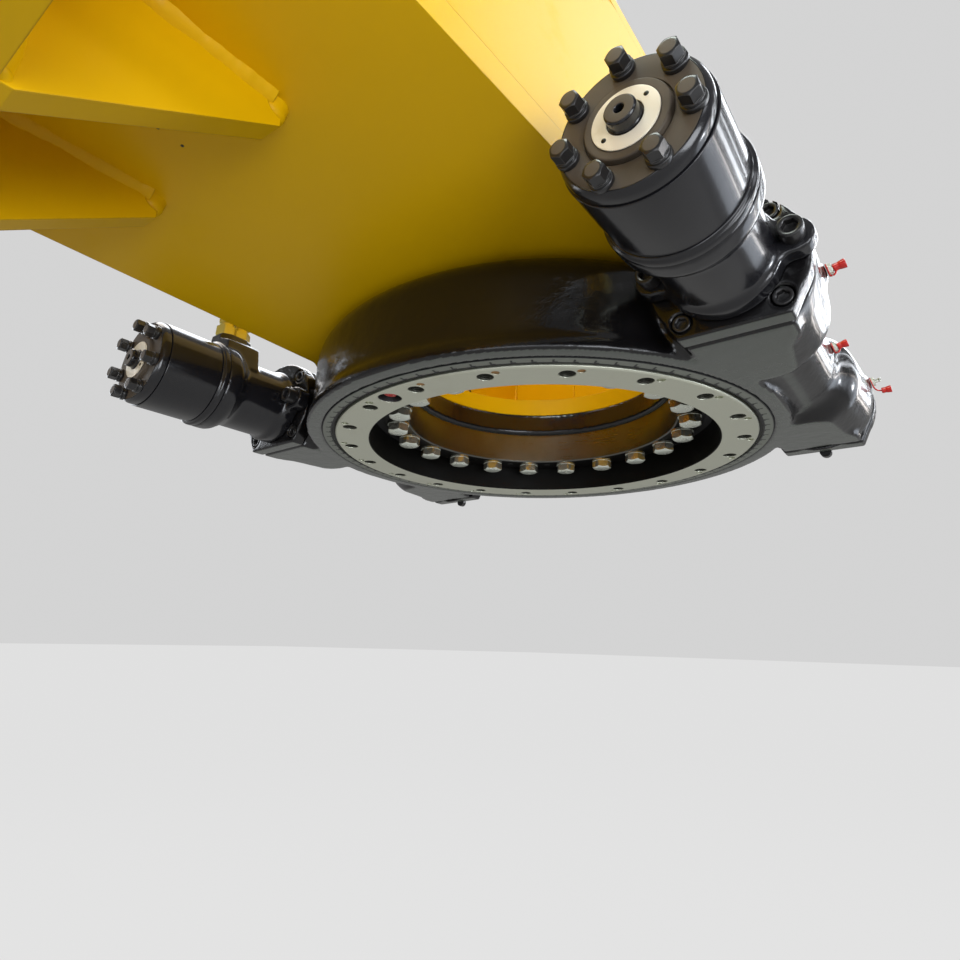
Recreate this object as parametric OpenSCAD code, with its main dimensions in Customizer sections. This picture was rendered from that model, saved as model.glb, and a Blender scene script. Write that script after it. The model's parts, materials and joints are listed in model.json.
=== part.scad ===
// Twin-worm slewing drive with two hydraulic orbit motors, bolted under a
// welded carrier frame. It steers a wheel carriage about the vertical axis.
// Origin: centre of the slewing ring, on the ring's lower face.
// +Z is up, the motors point along -Y, and the worm axes lie at +X and -X.

/* [Slewing ring] */
// Diameter of the circle of tapped holes in the turning ring
ring_pcd = 470; // [420:1:530]
// Number of tapped holes in the turning ring
ring_hole_n = 20; // [16:1:24]
// Diameter of each tapped hole
ring_hole_d = 16; // [12:0.5:18]
// Depth of each tapped hole
ring_hole_depth = 32; // [20:1:40]
// Angle of the first hole from the +X axis
ring_phase = 1.3; // [0:0.1:4]
// Width of the turning ring's face inside the circle of holes
ring_in_w = 24.5; // [18:0.5:30]
// Width of the turning ring's face outside the circle of holes
ring_out_w = 15; // [12:0.5:20]
// Height of the turning ring
ring_h = 68; // [60:1:72]
// Diameter of the greasing hole in the ring's lower face
grease_hole_d = 24; // [18:1:28]

/* [Inner ring] */
// Height of the inner ring's lower face above the turning ring's lower face
inner_face_z = 31.5; // [26:0.5:36]
// Step from the turning ring's bore in to the raceway
race_step = 6.8; // [5:0.1:9]
// Distance from the raceway to the circle of bolts through the inner ring
race_wall = 24.7; // [20:0.1:30]
// Nominal size of those bolts
inner_bolt_d = 16; // [12:1:18]
// Thickness of the washers under those bolts
washer_t = 3; // [2:0.5:4]
// Edge of the inner ring's face left free inside the washers
bore_margin = 0.2; // [0:0.1:3]
// Depth of the seal's groove in the inner ring
seal_groove = 6.5; // [5:0.1:8]

/* [Housing] */
// Width of the housing's lower lip outside the retainer
lip_w = 18.5; // [14:0.5:24]
// Height of the lip's lower face above the ring's lower face
lip_z = 2; // [1:0.5:5]
// Thickness of the housing's top flange
housing_flange_t = 31.5; // [28:0.5:36]
// Radius of the round shoulder at the top of the housing
shoulder_r = 28; // [18:1:34]
// Step from the inner ring's bore in to the housing's bore
bore_step = 6; // [4:0.5:10]
// Clear space between the turning ring and the housing's wall
ring_gap = 5; // [4.5:0.5:8]
// Clear space between the turning ring's top and the housing
roof_gap = 5.5; // [4:0.5:8]
// Width of the soft seal round the turning ring
seal_w = 4; // [3:0.5:6]
// Width of the notched retainer round the seal
retainer_w = 10.5; // [8:0.5:12]
// Thickness of the notched retainer
retainer_t = 6; // [4:0.5:8]
// Number of notches in the retainer
notch_n = 90; // [60:1:96]

/* [Worm tunnels] */
// Distance from the turning ring's wall to each worm's axis
worm_reach = 35; // [32:0.5:42]
// Height of the worm axes
worm_z = 55; // [52:1:60]
// Outer radius of the tunnel between its end bosses
tunnel_r = 42; // [38:1:46]
// Outer radius of the bearing bosses at the tunnel's ends
boss_r = 62; // [58:1:66]
// Length of each bearing boss with its taper
boss_len = 90; // [80:1:100]
// Distance from the middle of the tunnel to the end of each boss
boss_end = 173; // [168:1:180]
// Length of the straight end of each boss
boss_land = 25; // [20:1:40]
// Length of the taper between a tunnel's waist and its boss
taper_len = 35; // [28:1:48]
// Half width of the feet under the bosses
foot_w = 42; // [36:1:46]
// Thickness of the plate between a tunnel and its motor
adapter_t = 16.7; // [14:0.1:20]
// Thickness of the cap at the far end of each tunnel
cap_t = 24; // [18:1:30]
// Radius of the low round boss on each end cap
cap_boss_r = 38; // [30:1:42]
// Distance across the flats of the grease nipples
nipple_af = 9; // [7:0.5:12]
// Length of the caps on the grease nipples
nipple_cap_len = 12; // [8:1:16]

/* [Motors] */
// Distance between the two screws that hold a motor
motor_screw_span = 106.4; // [104:0.2:108]
// Thickness of a motor's own flange
motor_flange_t = 15; // [12:1:18]
// Radius of the two ears of a motor's flange
ear_r = 14; // [12:0.5:16]
// Radius of the hollow fillets between the ears and the round of the flange
ear_fillet_r = 10; // [6:1:14]
// Diameter of the heads of the two screws that hold a motor
motor_screw_head = 18; // [14:1:22]
// Radius of a motor's neck
neck_r = 42; // [38:1:44]
// Radius of a motor's body and spacer disc
motor_r = 52; // [50:0.5:54]
// Radius of a motor's gear section
gear_r = 48.7; // [46:0.1:49.5]
// Radius of a motor's end cover
cover_r = 47.4; // [45:0.1:48.5]
// Length of a motor's neck, from the flange to the cone
neck_len = 62; // [58:1:68]
// Length of a motor's round body behind the cone
body_len = 24; // [18:1:30]
// Thickness of a motor's spacer disc
spacer_t = 8; // [6:0.5:18]
// Length of a motor's gear section
gear_len = 59; // [40:1:66]
// Length of a motor's end cover
cover_len = 10; // [9:1:20]
// Number of bolts in a motor's end cover
cover_bolt_n = 7; // [6:1:8]
// Radius of the circle of those bolts
cover_bolt_r = 38.8; // [37:0.1:40]
// Distance across the flats of those bolts
cover_bolt_af = 13; // [10:1:15]
// Height of a motor's port block above the worm axis
port_h = 75; // [70:1:80]
// Distance between the two oil ports
port_pitch = 23; // [22:0.5:28]
// Distance across the flats of the nuts on the oil ports
port_nut_af = 22; // [17:1:24]
// Distance across the flats of the closing caps above those nuts
port_cap_af = 19; // [15:1:22]
// Length of the closing caps
port_cap_h = 14; // [10:1:18]
// Outer radius of the bare metal ring on a motor's end cover
label_r = 21; // [18:0.5:24]
// Radius of the round plug in the middle of a motor's end cover
plug_r = 10.5; // [8:0.5:12]

/* [Carrier frame] */
// Thickness of the carrier plate
plate_t = 25; // [16:1:30]
// Width of the plate's round end outside the housing's lip
plate_margin = 7; // [3:0.5:12]
// Radius of the fillets between the round end and the beam
plate_fillet_r = 22; // [10:1:30]
// Half width of the carrier beam beside the ring
beam_w = 220; // [200:1:226]
// Half width of the carrier beam at its far end
beam_end_w = 203; // [180:1:215]
// Distance from the ring's centre to the beam's end wall
beam_len = 600; // [560:5:680]
// Distance from the ring's centre to where the beam starts to taper
taper_y = 200; // [150:1:240]
// Distance from the ring's centre to the rear cross wall
rear_y = 250; // [235:1:262]
// Height of the carrier's walls above the plate
wall_h = 250; // [180:5:320]
// Thickness of the carrier's walls
wall_t = 16; // [10:1:20]
// Width of the flange bars along the tops of the walls
flange_w = 70; // [60:1:90]
// Thickness of the flange bars
flange_t = 16; // [10:1:20]
// Diameter of the holes in the flange bars
flange_hole_d = 22; // [16:1:26]
// Distance of each gusset's middle from the centre line
gusset_x = 80; // [60:1:100]
// Thickness of the gussets
gusset_t = 20; // [12:1:24]
// Length of the gussets from the end wall to their tips
gusset_len = 134; // [110:1:160]
// Height of the gussets at their tips
gusset_tip_h = 19; // [17:1:30]
// Slope of the gussets' lower edges below the horizontal
gusset_slope = 33.4; // [28:0.1:36]

/* [Hidden] */

$fn = 96;
fit = 0.3;
eps = 0.5;
bolt_short = 6.5;

head_af = 1.5 * inner_bolt_d;
head_h = 0.625 * inner_bolt_d;
washer_d = 1.725 * inner_bolt_d;
ring_r = ring_pcd / 2;
ring_in_r = ring_r - ring_in_w;
ring_out_r = ring_r + ring_out_w;
race_r = ring_in_r - race_step;
inner_r = race_r - race_wall;
inner_bore_r = inner_r - washer_d / 2 - bore_margin;
housing_bore_r = inner_bore_r - bore_step;
inner_top = ring_h + roof_gap;
inner_h = inner_top - inner_face_z;
seal_step_z = inner_face_z + 12;
seal_in_r = race_r - seal_groove + fit;
cavity_r = ring_out_r + ring_gap;
retainer_in_r = ring_out_r + seal_w;
retainer_out_r = retainer_in_r + retainer_w;
lip_r = retainer_out_r + lip_w;
wall_r = lip_r - 4;
worm_x = ring_out_r + worm_reach;
housing_top = inner_top + housing_flange_t;
plate_r = lip_r + plate_margin;
plate_top = housing_top + plate_t;
wall_top = plate_top + wall_h;
bolt_len = plate_top - bolt_short - inner_face_z + washer_t + head_h;

adapter_s = boss_end + fit;
flange_s = adapter_s + adapter_t + fit;
neck_s = flange_s + motor_flange_t;
body_s = neck_s + neck_len;
spacer_s = body_s + body_len;
gear_s = spacer_s + spacer_t;
cover_s = gear_s + gear_len;
face_s = cover_s + cover_len;
dish_r = 26;
dish_h = 3;
cover_head_h = 0.615 * cover_bolt_af;
port_w = 26;
port_base_w = 38;
port_len = 42;
port_depth = port_h - neck_r / 2;
port_s = body_s + 1;
screw_head_d = 15;
screw_sunk = 10;
cap_screw_head = 13;
port_nut_h = 9;
port_neck_h = 5;
port_cap_z = port_nut_h + port_neck_h;
label_t = 0.8;
rivet_r = 1.6;
plug_h = 8;
collar_h = 5.5;
grease_depth = 8;
grease_angle = ring_phase - 5.5 * 360 / ring_hole_n;
mark_angle = 2.75;
mark_r = ring_r + 7.3;
mark_d = 8;
mark_depth = 3;
nipple_s = [120, -30, -160];
nipple_tilt = 10;
gusset_tip_y = beam_len - gusset_len;
scallop_r = 13;

// A hexagonal prism with the given distance across its flats
module hex(af, h) {
    cylinder(d = af / cos(30), h = h, $fn = 6);
}

// A hexagonal bolt head whose lower corners are turned off, as they are on a lathe
module hex_head(af, h) {
    intersection() {
        hex(af, h);
        cylinder(r1 = af / 2 - 0.6, r2 = af / 2 - 0.6 + h * 2, h = h, $fn = 48);
    }
}

// Children repeated on a circle
module around(n, r, phase = 0) {
    for (i = [0:n - 1])
        rotate([0, 0, phase + i * 360 / n])
            translate([r, 0, 0])
                children();
}

// Children moved to a worm's axis: x points outwards, y up, z towards the motor
module at_worm(side) {
    mirror([side < 0 ? 1 : 0, 0, 0])
        translate([worm_x, 0, worm_z])
            rotate([90, 0, 0])
                children();
}

// Turning ring with its tapped holes; the carriage bolts to its lower face
module slew_ring() {
    color([0.60, 0.62, 0.58])
        difference() {
            rotate_extrude()
                polygon([
                    [ring_in_r + 1, 0], [ring_out_r - 1.5, 0], [ring_out_r, 1.5],
                    [ring_out_r, ring_h], [race_r + fit, ring_h],
                    [race_r + fit, seal_step_z + eps], [ring_in_r, seal_step_z + eps],
                    [ring_in_r, 1]
                ]);
            around(ring_hole_n, ring_r, ring_phase) {
                translate([0, 0, -1])
                    cylinder(d = ring_hole_d, h = ring_hole_depth + 1, $fn = 32);
            }
            around(ring_hole_n, mark_r, ring_phase + mark_angle)
                translate([0, 0, -1])
                    cylinder(d = mark_d, h = mark_depth + 1, $fn = 24);
            rotate([0, 0, grease_angle])
                translate([ring_r, 0, -1])
                    cylinder(d = grease_hole_d, h = grease_depth + 1, $fn = 32);
        }
}

// Soft lip seal between the turning ring and the inner ring
module ring_seal() {
    color([0.05, 0.05, 0.06])
        rotate_extrude()
            polygon([
                [seal_in_r, seal_step_z - 6], [ring_in_r - fit, seal_step_z - 7],
                [ring_in_r - fit, seal_step_z + eps], [seal_in_r, seal_step_z - 2]
            ]);
}

// Plug in the ring's greasing hole
module ring_plug() {
    color([0.80, 0.10, 0.08])
        rotate([0, 0, grease_angle])
            translate([ring_r, 0, grease_depth - 6])
                cylinder(d = grease_hole_d - 9, h = 6, $fn = 32);
}

// Inner ring, bolted through the housing into the carrier plate
module inner_ring() {
    color([0.36, 0.29, 0.18])
        difference() {
            rotate_extrude()
                polygon([
                    [inner_bore_r + 1.5, inner_face_z], [race_r - seal_groove, inner_face_z],
                    [race_r - seal_groove, seal_step_z], [race_r, seal_step_z],
                    [race_r, inner_top], [inner_bore_r, inner_top],
                    [inner_bore_r, inner_face_z + 1.5]
                ]);
            around(ring_hole_n, inner_r, ring_phase)
                translate([0, 0, inner_face_z - 1])
                    cylinder(d = inner_bolt_d + 1.5, h = inner_h + 2, $fn = 32);
        }
}

// Hexagon bolts that hold the inner ring
module inner_bolts() {
    color([0.74, 0.72, 0.64])
        around(ring_hole_n, inner_r, ring_phase)
            translate([0, 0, inner_face_z - washer_t - head_h]) {
                hex_head(head_af, head_h);
                translate([0, 0, head_h - 1])
                    cylinder(d = inner_bolt_d, h = bolt_len - head_h + 1, $fn = 32);
            }
}

// Washers under those bolts
module inner_washers() {
    color([0.70, 0.70, 0.66])
        around(ring_hole_n, inner_r, ring_phase)
            translate([0, 0, inner_face_z - washer_t])
                difference() {
                    cylinder(d = washer_d, h = washer_t, $fn = 32);
                    translate([0, 0, -1])
                        cylinder(d = inner_bolt_d + 1, h = washer_t + 2, $fn = 32);
                }
}

// Round body of the housing: lip, wall, shoulder and top flange
module housing_round() {
    rotate_extrude() {
        polygon([
            [housing_bore_r, inner_top], [cavity_r, inner_top],
            [cavity_r, lip_z + retainer_t], [retainer_out_r + fit, lip_z + retainer_t],
            [retainer_out_r + fit, lip_z], [lip_r - 1, lip_z], [lip_r, lip_z + 1],
            [lip_r, lip_z + 11], [wall_r, lip_z + 16],
            [wall_r, housing_top - shoulder_r], [wall_r - shoulder_r, housing_top],
            [housing_bore_r, housing_top]
        ]);
        translate([wall_r - shoulder_r, housing_top - shoulder_r])
            circle(r = shoulder_r);
    }
}

// Half of a tunnel's turned outline: waist, taper and bearing boss
module tunnel_outline() {
    taper_s = boss_end - boss_len;
    polygon([
        [0, 0], [tunnel_r, 0], [tunnel_r, taper_s - taper_len],
        [tunnel_r + 2, taper_s - taper_len + 11],
        [boss_r - 7, taper_s - 8], [boss_r - 4, taper_s], [boss_r, boss_end - boss_land],
        [boss_r, boss_end], [0, boss_end]
    ]);
}

// Foot under a boss, rounded towards the middle of the tunnel
module foot() {
    round_s = boss_end - 13;
    translate([0, lip_z - worm_z, 0])
        rotate([-90, 0, 0])
            linear_extrude(worm_z - lip_z)
                intersection() {
                    union() {
                        translate([-foot_w, -boss_end])
                            square([2 * foot_w, boss_end - round_s]);
                        translate([0, -round_s])
                            circle(r = foot_w);
                    }
                    translate([-boss_r, -boss_end])
                        square([2 * boss_r, boss_end]);
                }
}

// Tunnel for one worm, with a boss and a foot at each end
module tunnel() {
    for (end = [0, 1])
        mirror([0, 0, end]) {
            rotate_extrude()
                tunnel_outline();
            foot();
        }
    web_len = worm_x - race_r;
    translate([-web_len, lip_z + 8 - worm_z, -boss_end + 8])
        cube([web_len, tunnel_r + worm_z - lip_z - 8, 2 * boss_end - 16]);
    for (s = nipple_s)
        nipple_pad(s);
}

// Raised pad that a grease nipple screws into
module nipple_pad(s) {
    translate([0, 0, s])
        rotate([0, 90, nipple_tilt])
            cylinder(r = 8, h = pad_reach(s), $fn = 32);
}
function pad_reach(s) = (abs(s) > boss_end - boss_len ? boss_r : tunnel_r) + 2;

// Cast housing with both worm tunnels
module gear_housing() {
    color([0.10, 0.10, 0.12])
        difference() {
            union() {
                housing_round();
                at_worm(1)
                    tunnel();
                at_worm(-1)
                    tunnel();
            }
            translate([0, 0, lip_z - 20])
                cylinder(r = retainer_out_r + fit, h = retainer_t + 20);
            cylinder(r = cavity_r, h = inner_top);
            translate([-worm_x * 2, -lip_r, housing_top])
                cube([worm_x * 4, lip_r * 2, worm_z]);
            translate([-worm_x * 2, -lip_r, lip_z - worm_z])
                cube([worm_x * 4, lip_r * 2, worm_z]);
            cylinder(r = housing_bore_r, h = housing_top + 10);
            around(ring_hole_n, inner_r, ring_phase)
                translate([0, 0, inner_top - 1])
                    cylinder(d = inner_bolt_d + 1.5, h = housing_top - inner_top + 2, $fn = 32);
        }
}

// Soft seal that closes the gap round the turning ring
module outer_seal() {
    color([0.04, 0.04, 0.04])
        rotate_extrude()
            polygon([
                [ring_out_r + fit, lip_z + 3], [retainer_in_r - fit, lip_z + 1.5],
                [retainer_in_r - fit, lip_z + retainer_t], [ring_out_r + fit, lip_z + retainer_t]
            ]);
}

// Notched ring that retains the seal
module seal_retainer() {
    color([0.30, 0.31, 0.30])
        difference() {
            rotate_extrude()
                translate([retainer_in_r, lip_z])
                    square([retainer_w, retainer_t]);
            around(notch_n, retainer_in_r)
                translate([0, 0, lip_z - 1]) {
                    translate([-1, -0.6, 0])
                        cube([retainer_w * 0.65 + 1, 1.2, 3]);
                    translate([-1, 0, 0])
                        cube([2.4, 3.6, 3]);
                }
        }
}

// Outline of the plate between a tunnel and its motor
module adapter_outline() {
    intersection() {
        circle(r = boss_r);
        translate([-boss_r, lip_z + 0.5 - worm_z])
            square([2 * boss_r, 2 * boss_r]);
    }
    polygon([
        [-foot_w, lip_z + 0.5 - worm_z], [foot_w, lip_z + 0.5 - worm_z],
        [boss_r * cos(20), -boss_r * sin(20)], [-boss_r * cos(20), -boss_r * sin(20)]
    ]);
}

// Positions of the four screws in an adapter plate
module adapter_corners() {
    for (angle = [45:90:315])
        rotate([0, 0, angle])
            translate([motor_screw_span / 2, 0, 0])
                children();
}

// Plate between a tunnel and its motor
module adapter(side) {
    color([0.13, 0.13, 0.15])
        at_worm(side)
            translate([0, 0, adapter_s])
                difference() {
                    linear_extrude(adapter_t)
                        adapter_outline();
                    adapter_corners()
                        translate([0, 0, adapter_t - screw_sunk])
                            cylinder(d = screw_head_d + 2, h = screw_sunk + 2, $fn = 32);
                }
}

// Socket screw: round head with a hexagon socket
module socket_screw(head_d, head_h) {
    difference() {
        cylinder(d = head_d, h = head_h, $fn = 32);
        translate([0, 0, head_h - 5])
            hex(head_d * 0.52, 6);
    }
}

// Screws sunk in an adapter plate
module adapter_screws(side) {
    color([0.16, 0.16, 0.18])
        at_worm(side)
            translate([0, 0, adapter_s + adapter_t - screw_sunk])
                adapter_corners()
                    socket_screw(screw_head_d, screw_sunk - 0.5);
}

// Cap at the far end of a tunnel, set off by a narrow groove
module end_cap(side) {
    color([0.11, 0.11, 0.13])
        at_worm(side)
            mirror([0, 0, 1])
                translate([0, 0, boss_end + fit]) {
                    cylinder(r = boss_r - 6, h = 4);
                    translate([0, 0, 4])
                        linear_extrude(cap_t - 4)
                            adapter_outline();
                    translate([0, 0, cap_t])
                        cylinder(r1 = cap_boss_r, r2 = cap_boss_r - 3, h = 4);
                }
}

// Screws in an end cap
module cap_screws(side) {
    color([0.16, 0.16, 0.18])
        at_worm(side)
            mirror([0, 0, 1])
                translate([0, 0, boss_end + fit + cap_t + fit])
                    around(6, boss_r - 10, 30)
                        socket_screw(cap_screw_head, 8);
}

// Hollow fillet between the round of a motor's flange and one side of an ear
module ear_fillet(r) {
    ear_x = motor_screw_span / 2;
    far = r + ear_fillet_r;
    near = ear_r + ear_fillet_r;
    cx = (far * far - near * near + ear_x * ear_x) / (2 * ear_x);
    cy = sqrt(far * far - cx * cx);
    on_round = (r - eps) / far;
    on_ear = (ear_r - eps) / near;
    difference() {
        polygon([
            [ear_x - ear_r, 0], [cx * on_round, cy * on_round], [cx, cy],
            [ear_x + (cx - ear_x) * on_ear, cy * on_ear], [ear_x, 0]
        ]);
        translate([cx, cy])
            circle(r = ear_fillet_r + 0.05, $fn = 64);
    }
}

// Outline of a motor's flange: a round with two ears
module eared_outline(r) {
    circle(r = r);
    for (x = [0, 1])
        mirror([x, 0, 0]) {
            translate([motor_screw_span / 2, 0])
                circle(r = ear_r);
            for (y = [0, 1])
                mirror([0, y, 0])
                    ear_fillet(r);
        }
}

// Motor housing: flange, neck, round body and port block
module motor_body(side) {
    color([0.07, 0.07, 0.08])
        at_worm(side) {
            translate([0, 0, flange_s])
                linear_extrude(motor_flange_t)
                    eared_outline(neck_r + 4);
            translate([0, 0, neck_s])
                rotate_extrude()
                    polygon([
                        [0, -1], [neck_r + 1.5, -1], [neck_r + 1.5, 1], [neck_r, 5],
                        [neck_r, neck_len - 8], [neck_r + 1.5, neck_len - 4],
                        [motor_r - 1.5, neck_len + 6], [motor_r, neck_len + 10],
                        [motor_r, spacer_s - neck_s - 1.6], [motor_r - 1, spacer_s - neck_s - 0.6],
                        [motor_r - 1, spacer_s - neck_s - fit], [0, spacer_s - neck_s - fit]
                    ]);
            translate([0, 0, port_s - port_len / 2])
                linear_extrude(port_len)
                    polygon([
                        [-port_w, port_h], [port_w, port_h],
                        [port_base_w, port_h - port_depth], [-port_base_w, port_h - port_depth]
                    ]);
        }
}

// Spacer disc between a motor's body and its gear section
module motor_spacer(side) {
    color([0.06, 0.06, 0.07])
        at_worm(side)
            translate([0, 0, spacer_s])
                rotate_extrude()
                    polygon([
                        [0, 0], [motor_r - 1, 0], [motor_r - 1, 1], [motor_r, 2],
                        [motor_r, gear_s - spacer_s - 3], [gear_r + 0.6, gear_s - spacer_s - fit],
                        [0, gear_s - spacer_s - fit]
                    ]);
}

// Gear section of a motor
module motor_gear(side) {
    color([0.08, 0.08, 0.09])
        at_worm(side)
            translate([0, 0, gear_s])
                rotate_extrude()
                    polygon([
                        [0, 0], [gear_r, 0], [gear_r, gear_len - 1.2],
                        [gear_r - 0.8, gear_len - 0.6], [gear_r - 0.8, gear_len - fit],
                        [0, gear_len - fit]
                    ]);
}

// End cover of a motor, with its raised dish
module motor_cover(side) {
    color([0.09, 0.09, 0.10])
        at_worm(side)
            translate([0, 0, cover_s])
                rotate_extrude()
                    polygon([
                        [0, 0], [cover_r, 0], [cover_r, cover_len - 4],
                        [cover_r - 2.5, cover_len], [dish_r + 0.6, cover_len],
                        [dish_r, cover_len + dish_h], [0, cover_len + dish_h]
                    ]);
}

// Hexagon bolts in a motor's end cover
module motor_bolts(side, phase) {
    color([0.12, 0.12, 0.13])
        at_worm(side)
            translate([0, 0, face_s + 0.1])
                around(cover_bolt_n, cover_bolt_r, phase) {
                    cylinder(d = cover_bolt_af + 2.5, h = collar_h, $fn = 32);
                    translate([0, 0, collar_h + cover_head_h])
                        mirror([0, 0, 1])
                            hex_head(cover_bolt_af, cover_head_h);
                }
}

// Bare metal ring on the dish of a motor's end cover, with its two rivets
module motor_ring(side) {
    color([0.82, 0.77, 0.64])
        at_worm(side)
            translate([0, 0, face_s + dish_h + 0.1]) {
                difference() {
                    cylinder(r = label_r, h = label_t);
                    translate([0, 0, -1])
                        cylinder(r = plug_r + 1, h = label_t + 2);
                }
                around(2, (label_r + plug_r + 1) / 2, 35)
                    translate([0, 0, label_t])
                        cylinder(r = rivet_r, h = 0.7, $fn = 24);
            }
}

// Round plug in the middle of a motor's end cover
module motor_plug(side) {
    color([0.07, 0.07, 0.08])
        at_worm(side)
            translate([0, 0, face_s + dish_h + 0.1])
                difference() {
                    union() {
                        cylinder(r = plug_r, h = plug_h);
                        translate([0, 0, plug_h])
                            cylinder(r1 = plug_r, r2 = plug_r - 1, h = 1);
                    }
                    translate([0, 0, 3])
                        cylinder(r = 2.4, h = 10, $fn = 24);
                }
}

// Two socket screws that hold a motor by its ears
module motor_screws(side) {
    color([0.20, 0.20, 0.22])
        at_worm(side)
            translate([0, 0, neck_s + 0.1])
                for (x = [-1, 1])
                    translate([x * motor_screw_span / 2, 0, 0])
                        socket_screw(motor_screw_head, 12);
}

// Hexagon fittings in the two oil ports of a motor
module port_fittings(side) {
    color([0.78, 0.62, 0.16])
        at_worm(side)
            for (s = [-1, 1])
                translate([0, port_h + 0.1, port_s + s * port_pitch / 2])
                    rotate([-90, 0, 0]) {
                        hex(port_nut_af, port_nut_h);
                        cylinder(d = port_cap_af - 5, h = port_cap_z + 1, $fn = 32);
                        translate([0, 0, port_cap_z])
                            hex(port_cap_af, port_cap_h);
                        translate([0, 0, port_cap_z + port_cap_h])
                            cylinder(d = port_cap_af - 7, h = port_neck_h, $fn = 32);
                    }
}

// Frame of one grease nipple: z points outwards from its pad
module at_nipple(s) {
    translate([0, 0, s])
        rotate([0, 90, nipple_tilt])
            translate([0, 0, pad_reach(s) + 0.1])
                children();
}

// Grease nipples on a tunnel
module grease_nipples(side) {
    color([0.78, 0.76, 0.70])
        at_worm(side)
            for (s = nipple_s)
                at_nipple(s) {
                    hex(nipple_af, 6);
                    cylinder(d = nipple_af - 4, h = 11, $fn = 24);
                }
}

// Caps on the grease nipples
module nipple_caps(side) {
    color([0.85, 0.12, 0.10])
        at_worm(side)
            for (s = nipple_s)
                at_nipple(s)
                    translate([0, 0, 6.1])
                        difference() {
                            cylinder(d = nipple_af, h = nipple_cap_len, $fn = 32);
                            translate([0, 0, -1])
                                cylinder(d = nipple_af - 3.4, h = 6.4, $fn = 24);
                        }
}

// Plan of the carrier beam
module beam_plan() {
    polygon([
        [beam_w, rear_y + wall_t], [beam_w, -taper_y], [beam_end_w, -beam_len],
        [-beam_end_w, -beam_len], [-beam_w, -taper_y], [-beam_w, rear_y + wall_t]
    ]);
}

// Fillet between the plate's round end and the beam's straight side
module plate_fillet() {
    cx = beam_w + plate_fillet_r;
    cy = sqrt(pow(plate_r + plate_fillet_r, 2) - cx * cx);
    on_disc = (plate_r - eps) / (plate_r + plate_fillet_r);
    difference() {
        polygon([
            [beam_w - eps, cy], [cx, cy], [cx * on_disc, cy * on_disc], [beam_w - eps, cy * on_disc]
        ]);
        translate([cx, cy])
            circle(r = plate_fillet_r + 0.05, $fn = 64);
    }
}

// Carrier plate: the beam's bottom with its round end over the drive
module carrier_plate() {
    color([0.86, 0.66, 0.03])
        difference() {
            translate([0, 0, housing_top])
                union() {
                    cylinder(r = plate_r, h = plate_t, $fn = 160);
                    linear_extrude(plate_t)
                        beam_plan();
                    for (x = [0, 1], y = [0, 1])
                        mirror([x, 0, 0])
                            mirror([0, y, 0])
                                linear_extrude(plate_t)
                                    plate_fillet();
                }
            translate([0, 0, housing_top - 1])
                cylinder(r = housing_bore_r + 1, h = plate_t + 2);
            around(ring_hole_n, inner_r, ring_phase)
                translate([0, 0, housing_top - 1])
                    cylinder(d = inner_bolt_d + 0.6, h = plate_t + 2, $fn = 32);
        }
}

// Side wall of the carrier beam
module side_wall(side) {
    color([0.90, 0.70, 0.05])
        mirror([side < 0 ? 1 : 0, 0, 0])
            translate([0, 0, plate_top])
                linear_extrude(wall_h)
                    polygon([
                        [beam_w, rear_y + wall_t], [beam_w, -taper_y], [beam_end_w, -beam_len],
                        [beam_end_w - wall_t, -beam_len], [beam_w - wall_t, -taper_y],
                        [beam_w - wall_t, rear_y + wall_t]
                    ]);
}

// Cross wall behind the ring
module rear_wall() {
    color([0.88, 0.68, 0.04])
        translate([-beam_w + wall_t, rear_y, plate_top])
            cube([2 * (beam_w - wall_t), wall_t, wall_h]);
}

// Wall that closes the beam and carries the gussets
module end_wall() {
    color([0.84, 0.64, 0.03])
        translate([-beam_end_w, -beam_len - wall_t, lip_z])
            cube([2 * beam_end_w, wall_t, wall_top - lip_z]);
}

// Gusset under the plate, with a weld scallop at its tip
module gusset(side) {
    drop = gusset_tip_h + (beam_len - gusset_tip_y) * tan(gusset_slope);
    low_z = max(lip_z, housing_top - drop);
    low_y = gusset_tip_y + (housing_top - gusset_tip_h - low_z) / tan(gusset_slope);
    color([0.87, 0.67, 0.03])
        translate([side * gusset_x - gusset_t / 2, 0, 0])
            rotate([90, 0, 90])
                linear_extrude(gusset_t)
                    difference() {
                        polygon([
                            [-gusset_tip_y, housing_top], [-gusset_tip_y, housing_top - gusset_tip_h],
                            [-min(low_y, beam_len), low_z], [-beam_len, low_z],
                            [-beam_len, housing_top]
                        ]);
                        translate([-gusset_tip_y, housing_top])
                            circle(r = scallop_r, $fn = 48);
                    }
}

// Flange bars round the open top of the beam, drilled to bolt on
module top_flange() {
    color([0.85, 0.65, 0.03])
        difference() {
            translate([0, 0, wall_top])
                linear_extrude(flange_t)
                    difference() {
                        polygon([
                            [beam_w, rear_y + wall_t], [beam_w, -beam_len - wall_t],
                            [-beam_w, -beam_len - wall_t], [-beam_w, rear_y + wall_t]
                        ]);
                        translate([-beam_w + flange_w, -beam_len - wall_t + flange_w])
                            square([
                                2 * (beam_w - flange_w),
                                rear_y + beam_len + 2 * (wall_t - flange_w)
                            ]);
                    }
            for (x = [-1, 1], y = [rear_y + wall_t - flange_w / 2 - 10, -beam_len + flange_w / 2])
                translate([x * (beam_w - flange_w + flange_hole_d), y, wall_top - 1])
                    cylinder(d = flange_hole_d, h = flange_t + 2, $fn = 48);
        }
}

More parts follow.
